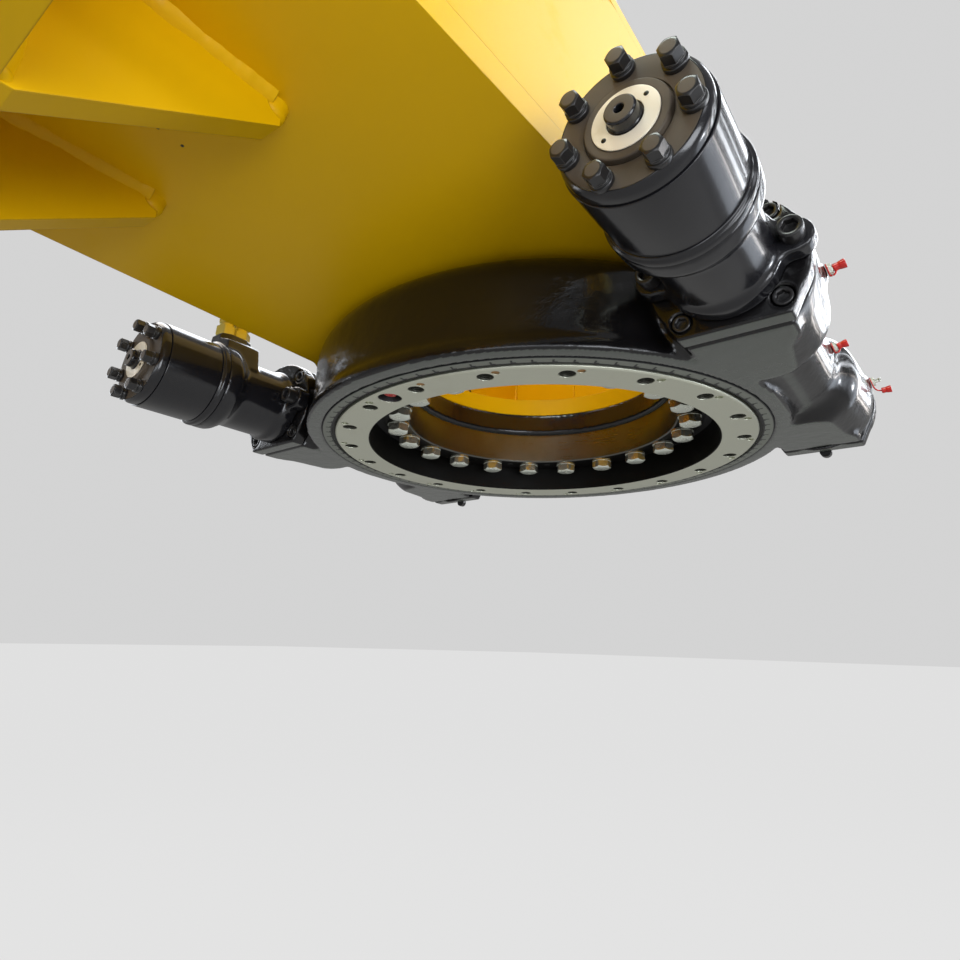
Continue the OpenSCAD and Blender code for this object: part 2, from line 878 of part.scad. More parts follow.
slew_ring();
ring_seal();
ring_plug();
inner_ring();
inner_bolts();
inner_washers();
gear_housing();
outer_seal();
seal_retainer();
adapter(1);  // adapter_right
adapter(-1);  // adapter_left
end_cap(1);  // end_cap_right
end_cap(-1);  // end_cap_left
adapter_screws(1);  // adapter_screws_right
adapter_screws(-1);  // adapter_screws_left
cap_screws(1);  // cap_screws_right
cap_screws(-1);  // cap_screws_left
motor_body(1);  // motor_body_right
motor_body(-1);  // motor_body_left
motor_spacer(1);  // motor_spacer_right
motor_spacer(-1);  // motor_spacer_left
motor_gear(1);  // motor_gear_right
motor_gear(-1);  // motor_gear_left
motor_cover(1);  // motor_cover_right
motor_cover(-1);  // motor_cover_left
motor_bolts(1, 140.8);  // motor_bolts_right
motor_bolts(-1, 89.7);  // motor_bolts_left
motor_ring(1);  // motor_ring_right
motor_ring(-1);  // motor_ring_left
motor_plug(1);  // motor_plug_right
motor_plug(-1);  // motor_plug_left
motor_screws(1);  // motor_screws_right
motor_screws(-1);  // motor_screws_left
port_fittings(1);  // port_fittings_right
port_fittings(-1);  // port_fittings_left
grease_nipples(1);  // grease_nipples_right
grease_nipples(-1);  // grease_nipples_left
nipple_caps(1);  // nipple_caps_right
nipple_caps(-1);  // nipple_caps_left
carrier_plate();
side_wall(1);  // side_wall_right
side_wall(-1);  // side_wall_left
rear_wall();
end_wall();
gusset(1);  // gusset_right
gusset(-1);  // gusset_left
top_flange();
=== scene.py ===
# %% [markdown]
# # A twin worm slewing drive under its carrier frame
#
# A tyred gantry crane steers each wheel carriage with a slewing drive: a ring
# that two worm gears turn, each driven by a hydraulic motor. This lesson
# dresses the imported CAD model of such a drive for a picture. The CAD model
# gives every size and place. Here we add the finish: cast and turned forms
# with soft edges, bolts made by Geometry Nodes, weld beads, and procedural
# paint, steel and rubber.

# %% Load the frame
import json
import math

import bmesh
import bpy
from mathutils import Matrix, Vector


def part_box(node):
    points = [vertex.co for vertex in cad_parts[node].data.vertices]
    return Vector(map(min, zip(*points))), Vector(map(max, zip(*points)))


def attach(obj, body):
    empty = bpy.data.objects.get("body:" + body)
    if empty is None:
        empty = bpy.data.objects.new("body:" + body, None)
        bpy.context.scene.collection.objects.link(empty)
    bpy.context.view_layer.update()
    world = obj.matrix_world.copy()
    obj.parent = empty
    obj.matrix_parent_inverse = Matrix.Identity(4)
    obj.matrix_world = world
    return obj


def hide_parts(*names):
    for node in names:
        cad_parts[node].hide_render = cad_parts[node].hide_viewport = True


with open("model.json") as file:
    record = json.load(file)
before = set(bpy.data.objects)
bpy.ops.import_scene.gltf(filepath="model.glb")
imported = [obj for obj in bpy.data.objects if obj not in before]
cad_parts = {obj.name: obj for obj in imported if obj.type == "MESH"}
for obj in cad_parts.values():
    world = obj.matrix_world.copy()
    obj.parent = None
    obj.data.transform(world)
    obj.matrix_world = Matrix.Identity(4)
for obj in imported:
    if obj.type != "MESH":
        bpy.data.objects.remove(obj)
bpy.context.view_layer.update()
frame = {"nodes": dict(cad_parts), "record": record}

# %% [markdown]
# ## Camera
#
# The photographer stood under the beam, beside the right-hand motor, and
# looked up at the ring. The camera was fitted to the ring's circles and the
# motors, so its place, its direction and its focal length are real values.
# The picture's optical centre lies above the middle of the frame, which the
# vertical shift takes up.

# %% Camera at the photographer's place
CAMERA_PLACE = Vector((0.3841, -0.6304, -0.2230))
CAMERA_FORWARD = Vector((-0.56567, 0.74194, 0.35993))
CAMERA_UP = Vector((0.19881, -0.30090, 0.93270))
FOCAL_SHARE = 0.64117
CENTRE_ABOVE_MIDDLE = 0.07917

camera_data = bpy.data.cameras.new("camera")
camera_data.sensor_width = 36
camera_data.lens = camera_data.sensor_width * FOCAL_SHARE
camera_data.shift_y = -CENTRE_ABOVE_MIDDLE
camera_data.clip_start = 0.02
camera_data.clip_end = 50
camera = bpy.data.objects.new("camera", camera_data)
scene = bpy.context.scene
scene.collection.objects.link(camera)
right = CAMERA_FORWARD.cross(CAMERA_UP).normalized()
turn = Matrix((right, CAMERA_UP.normalized(), -CAMERA_FORWARD.normalized())).transposed()
camera.matrix_world = Matrix.Translation(CAMERA_PLACE) @ turn.to_4x4()
scene.camera = camera
print("lens:", round(camera_data.lens, 2), "mm")

# %% [markdown]
# ## Stage and light
#
# The stage is a pale floor below the camera and a pale world, so nothing
# distracts from the part. Long soft boxes stand in for the roof lights of a
# workshop: on glossy black paint they draw the streaks that show its shape.

# %% Floor, world and lamps
FLOOR_Z = -0.95
FLOOR_SIZE = 90
FLOOR_EVENNESS = 0.9
FLOOR_MIRRORED = 0.3
WORLD_LIGHT = 0.40
WORLD_MIRRORED = 0.30
BACKGROUND = 0.82
COOL_WHITE = (0.90, 0.94, 1.0)
WARM_WHITE = (1.0, 0.93, 0.88)
SKY_BLUE = (0.80, 0.88, 1.0)
ROOF_GREEN = (0.91, 1.0, 0.92)


def linear(red, green, blue):
    """An RGBA colour for a shader from a colour written in 0 to 255."""
    def channel(value):
        value = value / 255
        return value / 12.92 if value <= 0.04045 else ((value + 0.055) / 1.055) ** 2.4
    return (channel(red), channel(green), channel(blue), 1)


def feed(tree, sockets, values):
    """Link each value that is a socket, and set each one that is a number or a colour."""
    for socket, value in zip(sockets, values):
        if isinstance(value, bpy.types.NodeSocket):
            tree.links.new(value, socket)
        else:
            socket.default_value = value


def feed_named(tree, node, **inputs):
    """Feed a node's inputs by name, with _ for each space."""
    feed(tree, [node.inputs[key.replace("_", " ")] for key in inputs], inputs.values())
    return node


def add(tree, kind, settings=None, **inputs):
    """Add a node to a tree, with its settings and its inputs by name."""
    made = tree.nodes.new(kind)
    for key, value in (settings or {}).items():
        setattr(made, key, value)
    return feed_named(tree, made, **inputs)


def calc(tree, operation, *values, clamp=False):
    """One Math node; its result is returned as a socket."""
    made = add(tree, "ShaderNodeMath", {"operation": operation, "use_clamp": clamp})
    feed(tree, made.inputs, values)
    return made.outputs[0]


def vector_calc(tree, operation, *values):
    """One Vector Math node, returned whole."""
    made = add(tree, "ShaderNodeVectorMath", {"operation": operation})
    feed(tree, made.inputs, values)
    return made


def soft_box(name, place, aim, width, length, power, run=(0, 1, 0), colour=COOL_WHITE):
    """A rectangular lamp that looks at a point, with its length along run."""
    data = bpy.data.lights.new(name, "AREA")
    data.shape = "RECTANGLE"
    data.size = width
    data.size_y = length
    data.energy = power
    data.color = colour
    lamp = bpy.data.objects.new(name, data)
    back = (Vector(place) - Vector(aim)).normalized()
    across = Vector(run).cross(back).normalized()
    turn = Matrix((across, back.cross(across), back)).transposed()
    lamp.matrix_world = Matrix.Translation(place) @ turn.to_4x4()
    lamp.visible_camera = False
    scene.collection.objects.link(lamp)


world = bpy.data.worlds.new("world")
scene.world = world
world.use_nodes = True
tree = world.node_tree
tree.nodes.clear()
path = tree.nodes.new("ShaderNodeLightPath")
mirrored = path.outputs["Is Glossy Ray"]
strength = calc(tree, "MULTIPLY_ADD", mirrored, WORLD_MIRRORED - WORLD_LIGHT, WORLD_LIGHT)
seen = path.outputs["Is Camera Ray"]
strength = calc(tree, "MULTIPLY_ADD", seen, BACKGROUND - WORLD_LIGHT, strength)
sky = add(tree, "ShaderNodeBackground", Strength=strength)
add(tree, "ShaderNodeOutputWorld", Surface=sky.outputs[0])

floor_mesh = bpy.data.meshes.new("floor")
half = FLOOR_SIZE / 2
corners = [(x * half, y * half, FLOOR_Z) for x, y in ((-1, -1), (1, -1), (1, 1), (-1, 1))]
floor_mesh.from_pydata(corners, [], [(0, 1, 2, 3)])
floor = bpy.data.objects.new("floor", floor_mesh)
scene.collection.objects.link(floor)
floor_material = bpy.data.materials.new("floor")
floor_material.use_nodes = True
tree = floor_material.node_tree
shader = tree.nodes["Principled BSDF"]
feed_named(tree, shader, Base_Color=linear(140, 138, 134), Roughness=0.9)
glow = add(tree, "ShaderNodeEmission", Strength=BACKGROUND)
path = tree.nodes.new("ShaderNodeLightPath")
share = calc(tree, "MULTIPLY", path.outputs["Is Camera Ray"], FLOOR_EVENNESS)
share = calc(tree, "MULTIPLY_ADD", path.outputs["Is Glossy Ray"], FLOOR_MIRRORED, share)
blend = add(tree, "ShaderNodeMixShader", Fac=share)
feed(tree, blend.inputs[1:], (shader.outputs[0], glow.outputs[0]))
feed_named(tree, tree.nodes["Material Output"], Surface=blend.outputs[0])
floor_mesh.materials.append(floor_material)

MOTOR_SPOT = (0.285, -0.33, 0.055)
LEFT_SPOT = (-0.285, -0.3, 0.055)
soft_box("roof_strip_low", (2.08, 1.52, 0.39), MOTOR_SPOT, 0.06, 2.4, 5, colour=WARM_WHITE)
soft_box("roof_strip_wide", (1.93, 1.52, 0.86), MOTOR_SPOT, 0.22, 2.4, 16)
soft_box("roof_strip_thin", (1.62, 1.52, 1.29), MOTOR_SPOT, 0.06, 2.4, 6)
soft_box("roof_strip_high", (0.90, 1.52, 1.77), MOTOR_SPOT, 0.34, 2.4, 23)
soft_box("window_right", (2.3, -1.7, 1.0), (0.1, -0.2, 0.1), 1.4, 0.5, 7, run=(0, 0, 1))
soft_box("window_left", (-2.6, -0.6, 0.6), (-0.1, -0.1, 0.1), 1.6, 0.9, 15, run=(0, 0, 1))
soft_box("wall_window", (-1.7, 0.9, 1.9), LEFT_SPOT, 1.5, 1.5, 34)
soft_box("roof_opening", (0.25, -0.70, 1.05), (-0.1, 0.25, 0.2), 0.5, 0.5, 7, colour=ROOF_GREEN)
soft_box("hall_opening", (2.6, 1.16, -0.12), (0.09, -0.52, 0.08), 0.3, 0.3, 12, run=(0, 0, 1))
soft_box("front_fill", (0.9, -2.4, -0.4), (0.2, -0.3, 0.05), 1.6, 0.8, 11, run=(0, 0, 1))
soft_box("right_fill", (2.0, -1.3, -0.5), (0.05, -0.3, 0.08), 1.2, 0.9, 25, run=(0, 0, 1))
soft_box("hall_wall", (2.3, 1.3, -0.05), MOTOR_SPOT, 0.9, 2.4, 12, colour=SKY_BLUE)
soft_box("left_sky", (-1.5, -0.3, 2.1), LEFT_SPOT, 1.3, 1.3, 20, colour=WARM_WHITE)
scene.view_settings.view_transform = "Standard"

# %% [markdown]
# ## Shared surface effects
#
# Several finishes share an effect, so each effect is a node group that is
# built once. *Soft edges* rounds the look of sharp corners by about a
# millimetre and finds them for wear. *Sprayed coat* is the gentle orange
# peel and the slow waves of thick paint on rough metal. *Grime* is a cloudy
# mask for dust, oil and handling marks. All of them read Object coordinates,
# because every mesh here holds its real place in metres.


# %% Node groups
def both_ends(tree):
    """Give a group its end nodes; returns the tree, the given sockets and the result's."""
    given = tree.nodes.new("NodeGroupInput").outputs
    return tree, given, tree.nodes.new("NodeGroupOutput").inputs


def node_group(name, inputs, outputs):
    """A new shader group with its sockets; returns the tree and both ends."""
    tree = bpy.data.node_groups.new(name, "ShaderNodeTree")
    for label, value in inputs.items():
        kind = "Vector" if isinstance(value, tuple) else "Float"
        socket = tree.interface.new_socket(label, in_out="INPUT", socket_type="NodeSocket" + kind)
        socket.default_value = value
    for label, kind in outputs.items():
        tree.interface.new_socket(label, in_out="OUTPUT", socket_type="NodeSocket" + kind)
    return both_ends(tree)


def object_place(tree):
    return tree.nodes.new("ShaderNodeTexCoord").outputs["Object"]


def surface(tree, value):
    """A value of the surface, such as its Normal."""
    return tree.nodes.new("ShaderNodeNewGeometry").outputs[value]


def upward(tree, normal):
    """How far a normal points up: 1 on a top face, -1 on an underside."""
    return add(tree, "ShaderNodeSeparateXYZ", Vector=surface(tree, normal)).outputs["Z"]


def cloud(tree, scale, detail, place=None, **options):
    """Noise in Object coordinates, or at another place."""
    place = place or object_place(tree)
    made = add(tree, "ShaderNodeTexNoise", Vector=place, Scale=scale, Detail=detail, **options)
    return made.outputs[0]


BEVEL_SAMPLES = 6
WEAR_GAIN = 14.0
WAVE_HEIGHT = 0.002
PEEL_HEIGHT = 0.0003
SPECKLE_SCALE = 420.0
SPECKLE_LEVEL = 0.70


def soft_edges_group():
    tree, given, result = node_group(
        "Soft edges",
        {"Radius": 0.001, "Wear": 0.5, "Patch Scale": 60.0},
        {"Normal": "Vector", "Edge": "Float"},
    )
    bevel = add(tree, "ShaderNodeBevel", {"samples": BEVEL_SAMPLES}, Radius=given["Radius"])
    match = vector_calc(tree, "DOT_PRODUCT", bevel.outputs[0], surface(tree, "Normal"))
    bend = calc(tree, "SUBTRACT", 1.0, match.outputs["Value"])
    broken = calc(tree, "MULTIPLY", bend, cloud(tree, given["Patch Scale"], 4.0))
    gain = calc(tree, "MULTIPLY", given["Wear"], WEAR_GAIN)
    worn = calc(tree, "MULTIPLY", broken, gain, clamp=True)
    feed(tree, result, (bevel.outputs[0], worn))
    return tree


def sprayed_coat_group():
    tree, given, result = node_group(
        "Sprayed coat",
        {"Normal": (0.0, 0.0, 0.0), "Peel Scale": 900.0, "Peel": 0.1, "Wave Scale": 40.0,
         "Wave": 0.2},
        {"Normal": "Vector", "Mottle": "Float"},
    )
    wave = cloud(tree, given["Wave Scale"], 3.0)
    peel = cloud(tree, given["Peel Scale"], 1.0)
    slow = add(tree, "ShaderNodeBump", Strength=given["Wave"], Distance=WAVE_HEIGHT,
               Height=wave, Normal=given["Normal"])
    fine = add(tree, "ShaderNodeBump", Strength=given["Peel"], Distance=PEEL_HEIGHT,
               Height=peel, Normal=slow.outputs[0])
    feed(tree, result, (fine.outputs[0], wave))
    return tree


def grime_group():
    tree, given, result = node_group(
        "Grime",
        {"Scale": 12.0, "Coverage": 0.5, "Softness": 0.2, "Streak": 1.0},
        {"Mask": "Float", "Speckle": "Float"},
    )
    stretch = add(tree, "ShaderNodeCombineXYZ", X=1.0, Y=1.0, Z=given["Streak"])
    place = vector_calc(tree, "MULTIPLY", object_place(tree), stretch.outputs[0]).outputs[0]
    dirt = cloud(tree, given["Scale"], 6.0, place, Roughness=0.62)
    low = calc(tree, "SUBTRACT", 1.0, given["Coverage"])
    high = calc(tree, "ADD", low, given["Softness"])
    mask = add(tree, "ShaderNodeMapRange", Value=dirt, From_Min=low, From_Max=high)
    specks = calc(tree, "GREATER_THAN", cloud(tree, SPECKLE_SCALE, 2.0), SPECKLE_LEVEL)
    feed(tree, result, (mask.outputs[0], specks))
    return tree


EFFECTS = {"edges": soft_edges_group(), "coat": sprayed_coat_group(), "grime": grime_group()}
print("node groups:", [group.name for group in EFFECTS.values()])

# %% [markdown]
# ## Finishes
#
# Every finish is a Principled BSDF whose colour, roughness and normal come
# from the shared effects with the finish's own values. The black housing
# paint is thick and glossy over a rough casting. The yellow paint is
# smoother and shows dust. The turned steel of the ring has fine rings and an
# oil film.


# %% Material helpers
FINISHES = {}


def new_finish(name):
    """An empty material on the list of finishes; returns its tree and its shader."""
    material = bpy.data.materials.new(name)
    material.use_nodes = True
    FINISHES[name] = material
    return material.node_tree, material.node_tree.nodes["Principled BSDF"]


def effect(tree, name, **inputs):
    """Place one shared effect in a material with its own values."""
    return add(tree, "ShaderNodeGroup", {"node_tree": EFFECTS[name]}, **inputs).outputs


def rgba_mix(tree, share, first, second):
    """Mix two colours; share is 0 for the first and 1 for the second."""
    made = add(tree, "ShaderNodeMix", {"data_type": "RGBA"})
    feed(tree, (made.inputs[0], made.inputs[6], made.inputs[7]), (share, first, second))
    return made.outputs[2]


MOTTLE_SHARE = 0.25
DUST_SHARE = 0.22
DUST_ROUGHNESS = 0.16
COAT_ROUGHNESS = 0.08
UNDERSIDE_REFLECTION_RANGE = {"From_Min": -0.93, "From_Max": -0.99}


def painted(name, colour, dust_colour, worn_colour, roughness, coat=0.0, edge_radius=0.0006,
            peel=0.05, wave=0.05, wave_scale=45.0, dust=0.4, wear=0.2, specular=0.5,
            underside=None):
    """A sprayed paint with dust, worn edges and, on some pieces, a painted reflection of the pale
    floor that makes the undersides paler.
    """
    tree, shader = new_finish(name)
    edges = effect(tree, "edges", Radius=edge_radius, Wear=wear)
    film = effect(tree, "coat", Normal=edges["Normal"], Peel=peel, Wave=wave,
                  Wave_Scale=wave_scale)
    dirt = effect(tree, "grime", Coverage=dust)["Mask"]
    mottled = calc(tree, "MULTIPLY", film["Mottle"], MOTTLE_SHARE)
    shade = rgba_mix(tree, mottled, colour, dust_colour)
    shade = rgba_mix(tree, calc(tree, "MULTIPLY", dirt, DUST_SHARE), shade, dust_colour)
    # Downward faces mix in a paler colour: a painted reflection of the pale floor.
    if underside:
        flat = add(tree, "ShaderNodeMapRange", Value=upward(tree, "Normal"), **UNDERSIDE_REFLECTION_RANGE)
        shade = rgba_mix(tree, flat.outputs[0], shade, underside)
    shade = rgba_mix(tree, edges["Edge"], shade, worn_colour)
    rough = calc(tree, "MULTIPLY_ADD", dirt, DUST_ROUGHNESS, roughness)
    feed_named(tree, shader, Base_Color=shade, Roughness=rough, Normal=film["Normal"],
               Specular_IOR_Level=specular, Coat_Weight=coat, Coat_Roughness=COAT_ROUGHNESS)


# %% Paints
painted(
    "yellow_paint", linear(234, 185, 0), linear(225, 176, 0), linear(160, 120, 4),
    roughness=0.40, specular=0.20, edge_radius=0.0012, peel=0.08, wave=0.08, wave_scale=14.0,
    dust=0.42, wear=0.25,
)
# The housing's undersides are painted paler: a painted reflection of the pale floor.
painted(
    "housing_paint", linear(12, 11, 13), linear(30, 28, 28), linear(50, 47, 45),
    roughness=0.20, coat=0.3, specular=0.40, edge_radius=0.0025, peel=0.25, wave=0.45,
    wave_scale=60.0, dust=0.30, wear=0.08, underside=linear(80, 85, 78),
)
painted(
    "motor_paint", linear(22, 22, 26), linear(46, 45, 46), linear(84, 84, 84),
    roughness=0.20, coat=0.3, specular=0.45, edge_radius=0.0009, peel=0.08, wave=0.08,
    wave_scale=50.0, dust=0.28, wear=0.18,
)
painted(
    "bolt_black", linear(28, 28, 30), linear(70, 66, 62), linear(110, 108, 104),
    roughness=0.28, coat=0.2, wear=0.35,
)
painted(
    "dusty_paint", linear(80, 71, 61), linear(122, 109, 91), linear(124, 116, 104),
    roughness=0.52, specular=0.35, dust=0.6,
)
painted(
    "retainer_paint", linear(122, 126, 117), linear(140, 141, 130), linear(140, 140, 132),
    roughness=0.5, edge_radius=0.0005,
)
print("paints:", len(FINISHES))


# %% Metals, rubber and plastic
GREASE_AND_SHADE = linear(15, 14, 12)
ZINC_PALE = linear(228, 233, 220)
ZINC_STAIN = linear(206, 204, 176)
ZINC_SHADED_SIDE = linear(118, 116, 106)
ZINC_AMBER = linear(166, 136, 72)
UPRIGHT_BELOW = 0.35
OIL_SHARE = 0.5
SPECKLE_SHARE = 0.25


def turned_steel(name, colour, oil_colour, roughness, rings, oil, grease_and_shade_radii):
    """Machined steel with ring-shaped tool marks, an oil film and a black band of radii: grease,
    with painted shade in the gap between the rings.
    """
    tree, shader = new_finish(name)
    edges = effect(tree, "edges", Radius=0.0008, Wear=0.2)
    x, y, z = add(tree, "ShaderNodeSeparateXYZ", Vector=object_place(tree)).outputs
    square = calc(tree, "MULTIPLY_ADD", x, x, calc(tree, "MULTIPLY", y, y))
    radius = calc(tree, "SQRT", square)
    # Between two radii the steel turns black: grease, and painted shade in the gap between the
    # rings.
    beyond = calc(tree, "GREATER_THAN", radius, grease_and_shade_radii[0])
    grease_and_shade = calc(tree, "MULTIPLY", beyond, calc(tree, "LESS_THAN", radius, grease_and_shade_radii[1]))
    around_axis = add(tree, "ShaderNodeCombineXYZ", X=radius, Z=z)
    marks = cloud(tree, rings, 3.0, around_axis.outputs[0])
    bump = add(tree, "ShaderNodeBump", Strength=0.12, Distance=0.0004, Height=marks,
               Normal=edges["Normal"])
    film = effect(tree, "grime", Coverage=oil, Scale=9.0, Softness=0.3)
    oily = calc(tree, "MULTIPLY", film["Mask"], OIL_SHARE)
    shade = rgba_mix(tree, oily, colour, oil_colour)
    specks = calc(tree, "MULTIPLY", film["Speckle"], SPECKLE_SHARE)
    shade = rgba_mix(tree, specks, shade, oil_colour)
    shade = rgba_mix(tree, grease_and_shade, shade, GREASE_AND_SHADE)
    rough = calc(tree, "MULTIPLY_ADD", marks, 0.14, roughness)
    rough = calc(tree, "MULTIPLY_ADD", film["Mask"], -0.08, rough)
    feed_named(tree, shader, Base_Color=shade, Roughness=rough, Normal=bump.outputs[0],
               Metallic=calc(tree, "SUBTRACT", 1.0, grease_and_shade), Specular_IOR_Level=0.12)


def stained(tree, roughness):
    """The mask of small stains and the roughness that they give."""
    mask = effect(tree, "grime", Coverage=0.45, Scale=60.0, Softness=0.3)["Mask"]
    return mask, calc(tree, "MULTIPLY_ADD", mask, 0.15, roughness)


def plain_metal(name, colour, stain, roughness, metallic=1.0):
    """Plated or bare metal with slight stains."""
    tree, shader = new_finish(name)
    mask, rough = stained(tree, roughness)
    feed_named(tree, shader, Base_Color=rgba_mix(tree, mask, colour, stain), Roughness=rough,
               Normal=effect(tree, "edges", Radius=0.0005, Wear=0.2)["Normal"],
               Metallic=metallic)


def plated_zinc(name, roughness=0.27, metallic=0.45):
    """Zinc plating: pale and stained below; painted shade makes the upright flats duller, and
    some are amber.
    """
    tree, shader = new_finish(name)
    mask, rough = stained(tree, roughness)
    patch = effect(tree, "grime", Coverage=0.48, Scale=38.0, Softness=0.05)
    slope = calc(tree, "ABSOLUTE", upward(tree, "True Normal"))
    upright = calc(tree, "LESS_THAN", slope, UPRIGHT_BELOW)
    shade = rgba_mix(tree, mask, ZINC_PALE, ZINC_STAIN)
    # Upright flats take a darker zinc colour: painted shade.
    shade = rgba_mix(tree, upright, shade, ZINC_SHADED_SIDE)
    amber = calc(tree, "MULTIPLY", upright, patch["Mask"])
    feed_named(tree, shader, Base_Color=rgba_mix(tree, amber, shade, ZINC_AMBER),
               Roughness=rough, Metallic=metallic,
               Normal=effect(tree, "edges", Radius=0.0006, Wear=0.3)["Normal"])


def soft_material(name, colour, dust_colour, roughness, coat=0.0):
    """Rubber or plastic: one dense colour with a little dust."""
    tree, shader = new_finish(name)
    dirt = effect(tree, "grime", Coverage=0.35, Scale=45.0)["Mask"]
    film = effect(tree, "coat", Peel=0.2, Peel_Scale=1500.0, Wave=0.05)
    dusty = calc(tree, "MULTIPLY", dirt, 0.35)
    feed_named(tree, shader, Base_Color=rgba_mix(tree, dusty, colour, dust_colour),
               Roughness=calc(tree, "MULTIPLY_ADD", dirt, 0.2, roughness),
               Normal=film["Normal"], Coat_Weight=coat)


turned_steel("ring_steel", linear(211, 213, 196), linear(176, 170, 144), roughness=0.34,
             rings=900.0, oil=0.45, grease_and_shade_radii=(0.0, 0.2113))
turned_steel("bore_steel", linear(108, 108, 104), linear(80, 76, 64), roughness=0.26,
             rings=700.0, oil=0.55, grease_and_shade_radii=(0.1664, 0.3))
plain_metal("thread_steel", linear(66, 66, 60), linear(34, 31, 26), 0.34)
plain_metal("rusty_steel", linear(170, 132, 88), linear(122, 88, 54), 0.48, metallic=0.4)
plated_zinc("zinc")
plain_metal("brass", linear(228, 216, 118), linear(212, 198, 128), 0.22, metallic=0.4)
plain_metal("label_metal", linear(250, 240, 218), linear(236, 222, 192), 0.42, metallic=0.1)
soft_material("seal_rubber", linear(20, 20, 21), linear(60, 58, 54), 0.55)
soft_material("red_plastic", linear(206, 34, 26), linear(150, 60, 50), 0.35, coat=0.3)
print("finishes:", len(FINISHES))

# %% Give every CAD node its finish
for row in frame["record"]["subparts"]:
    node = frame["nodes"][row["node"]]
    node.data.materials.clear()
    node.data.materials.append(FINISHES[row["material_slot"]])
print("dressed nodes:", len(frame["nodes"]))

# %% [markdown]
# ## Helpers for meshes
#
# Turned parts are made as they are on a lathe: rows of points are stacked
# along an axis and skinned. A row's radius may also depend on the angle,
# which gives bolt heads their hexagon and their chamfer. Each worm with its
# motor is built in its own frame, with x outwards, y up and z along the axis
# towards the motor, and then placed. From here on, sizes are written in
# millimetres and turns in degrees, and the helpers convert them.

# %% Sizes read from the frame
MM = 0.001


def box_mm(node):
    """Both corners of a node's box, in millimetres."""
    return [Vector(corner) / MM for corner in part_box(node)]


def half_width(node):
    """Half of a node's width, which is the radius of a turned disc."""
    low, high = box_mm(node)
    return (high.x - low.x) / 2


def at(x, y, z):
    """The matrix that moves a shape to a place in millimetres."""
    return Matrix.Translation(Vector((x, y, z)) * MM)


def rotate(degrees, axis="Z"):
    """The matrix that turns a shape about an axis."""
    return Matrix.Rotation(math.radians(degrees), 4, axis)


def along(node):
    """Where a node starts and ends along its worm's axis, in millimetres from the middle."""
    low, high = box_mm(node)
    return -high.y, -low.y


DOWN = rotate(180, "X")
SIDES = {"right": 1, "left": -1}
gear_low, gear_high = box_mm("motor_gear_right")
WORM_X = (gear_low.x + gear_high.x) / 2
WORM_Z = (gear_low.z + gear_high.z) / 2
WORMS = {}
for side, sign in SIDES.items():
    axes = Matrix(((sign, 0, 0, 0), (0, 0, -1, 0), (0, 1, 0, 0), (0, 0, 0, 1)))
    WORMS[side] = at(sign * WORM_X, 0, WORM_Z) @ axes
print("worm axes at x", round(WORM_X, 1), "z", round(WORM_Z, 1), "mm")


# %% Rows of points and their skin
SMALLEST_RADIUS = 1e-4
CHAMFER_SLOPE = 0.58


def hexagon(across):
    """Radius of a hexagon, by its distance across flats, as a function of the angle."""
    return lambda angle: across / 2 / math.cos(angle % (math.pi / 3) - math.pi / 6)


def bow(start, middle, end, steps):
    """Points of a smooth bow from start to end that leans towards the middle point."""
    shares = [k / steps for k in range(steps + 1)]
    return [start * (1 - t) ** 2 + middle * 2 * t * (1 - t) + end * t ** 2 for t in shares]


def rounded(profile, steps=4):
    """Round the corners of a profile of (along, radius) or (along, radius, corner) points."""
    points = []
    for i, spot in enumerate(profile):
        corner = spot[2] if len(spot) > 2 else 0
        here = Vector(spot[:2])
        if corner <= 0:
            points.append(here)
            continue
        before = Vector(profile[i - 1][:2]) - here
        after = Vector(profile[(i + 1) % len(profile)][:2]) - here
        start = here + before.normalized() * min(corner, before.length * 0.48)
        end = here + after.normalized() * min(corner, after.length * 0.48)
        points += bow(start, here, end, steps)
    return points


def join(shape, rings):
    """Faces between rings of vertices. A pole is a ring that repeats one vertex."""
    for lower, upper in zip(rings, rings[1:]):
        for i in range(len(lower)):
            j = (i + 1) % len(lower)
            face = list(dict.fromkeys([lower[i], lower[j], upper[j], upper[i]]))
            if len(face) > 2:
                shape.faces.new(face)


def skin(shape, rows, matrix=Matrix(), count=96, closed=False):
    """Skin rows of (along, radius) round local z; both may be functions of the angle."""
    rings = []
    for along_axis, radius in rows:
        if not callable(radius) and radius < SMALLEST_RADIUS:
            pole = shape.verts.new(matrix @ Vector((0, 0, along_axis * MM)))
            rings.append([pole] * count)
            continue
        ring = []
        for angle in (math.tau * i / count for i in range(count)):
            r = radius(angle) if callable(radius) else radius
            z = along_axis(angle) if callable(along_axis) else along_axis
            spot = Vector((r * math.cos(angle), r * math.sin(angle), z)) * MM
            ring.append(shape.verts.new(matrix @ spot))
        rings.append(ring)
    join(shape, rings + rings[:1] if closed else rings)


def lathe(profile, matrix=Matrix(), count=96, closed=False):
    """A new shape, turned from a profile of (along, radius, corner) points."""
    shape = bmesh.new()
    skin(shape, rounded(profile), matrix, count, closed)
    return shape


# %% Heads and tubes
def bolt_head(shape, across, start, height, matrix=Matrix()):
    """A hexagon head whose top corners are turned off at 30 degrees."""
    flat = hexagon(across)
    top = start + height
    crown = across * 0.45

    def chamfer(angle):
        return top - max(flat(angle) - crown, 0) * CHAMFER_SLOPE

    skin(shape, [
        (start, 0), (start, flat), (chamfer, flat), (top, crown),
        (top + across * 0.01, crown * 0.9), (top, 0),
    ], matrix, count=48)


def socket_head(shape, diameter, start, height, matrix=Matrix()):
    """A socket head with a rounded rim and a hexagon socket."""
    r = diameter / 2
    socket = hexagon(diameter * 0.56)
    top = start + height
    rim = rounded([(start, r), (top, r, r * 0.16), (top, r * 0.72)])[1:]
    skin(shape, [
        (start, 0), (start, r), *rim, (top - r * 0.05, r * 0.64), (top - r * 0.1, socket),
        (top - height * 0.55, socket), (top - height * 0.62, 0),
    ], matrix, count=48)


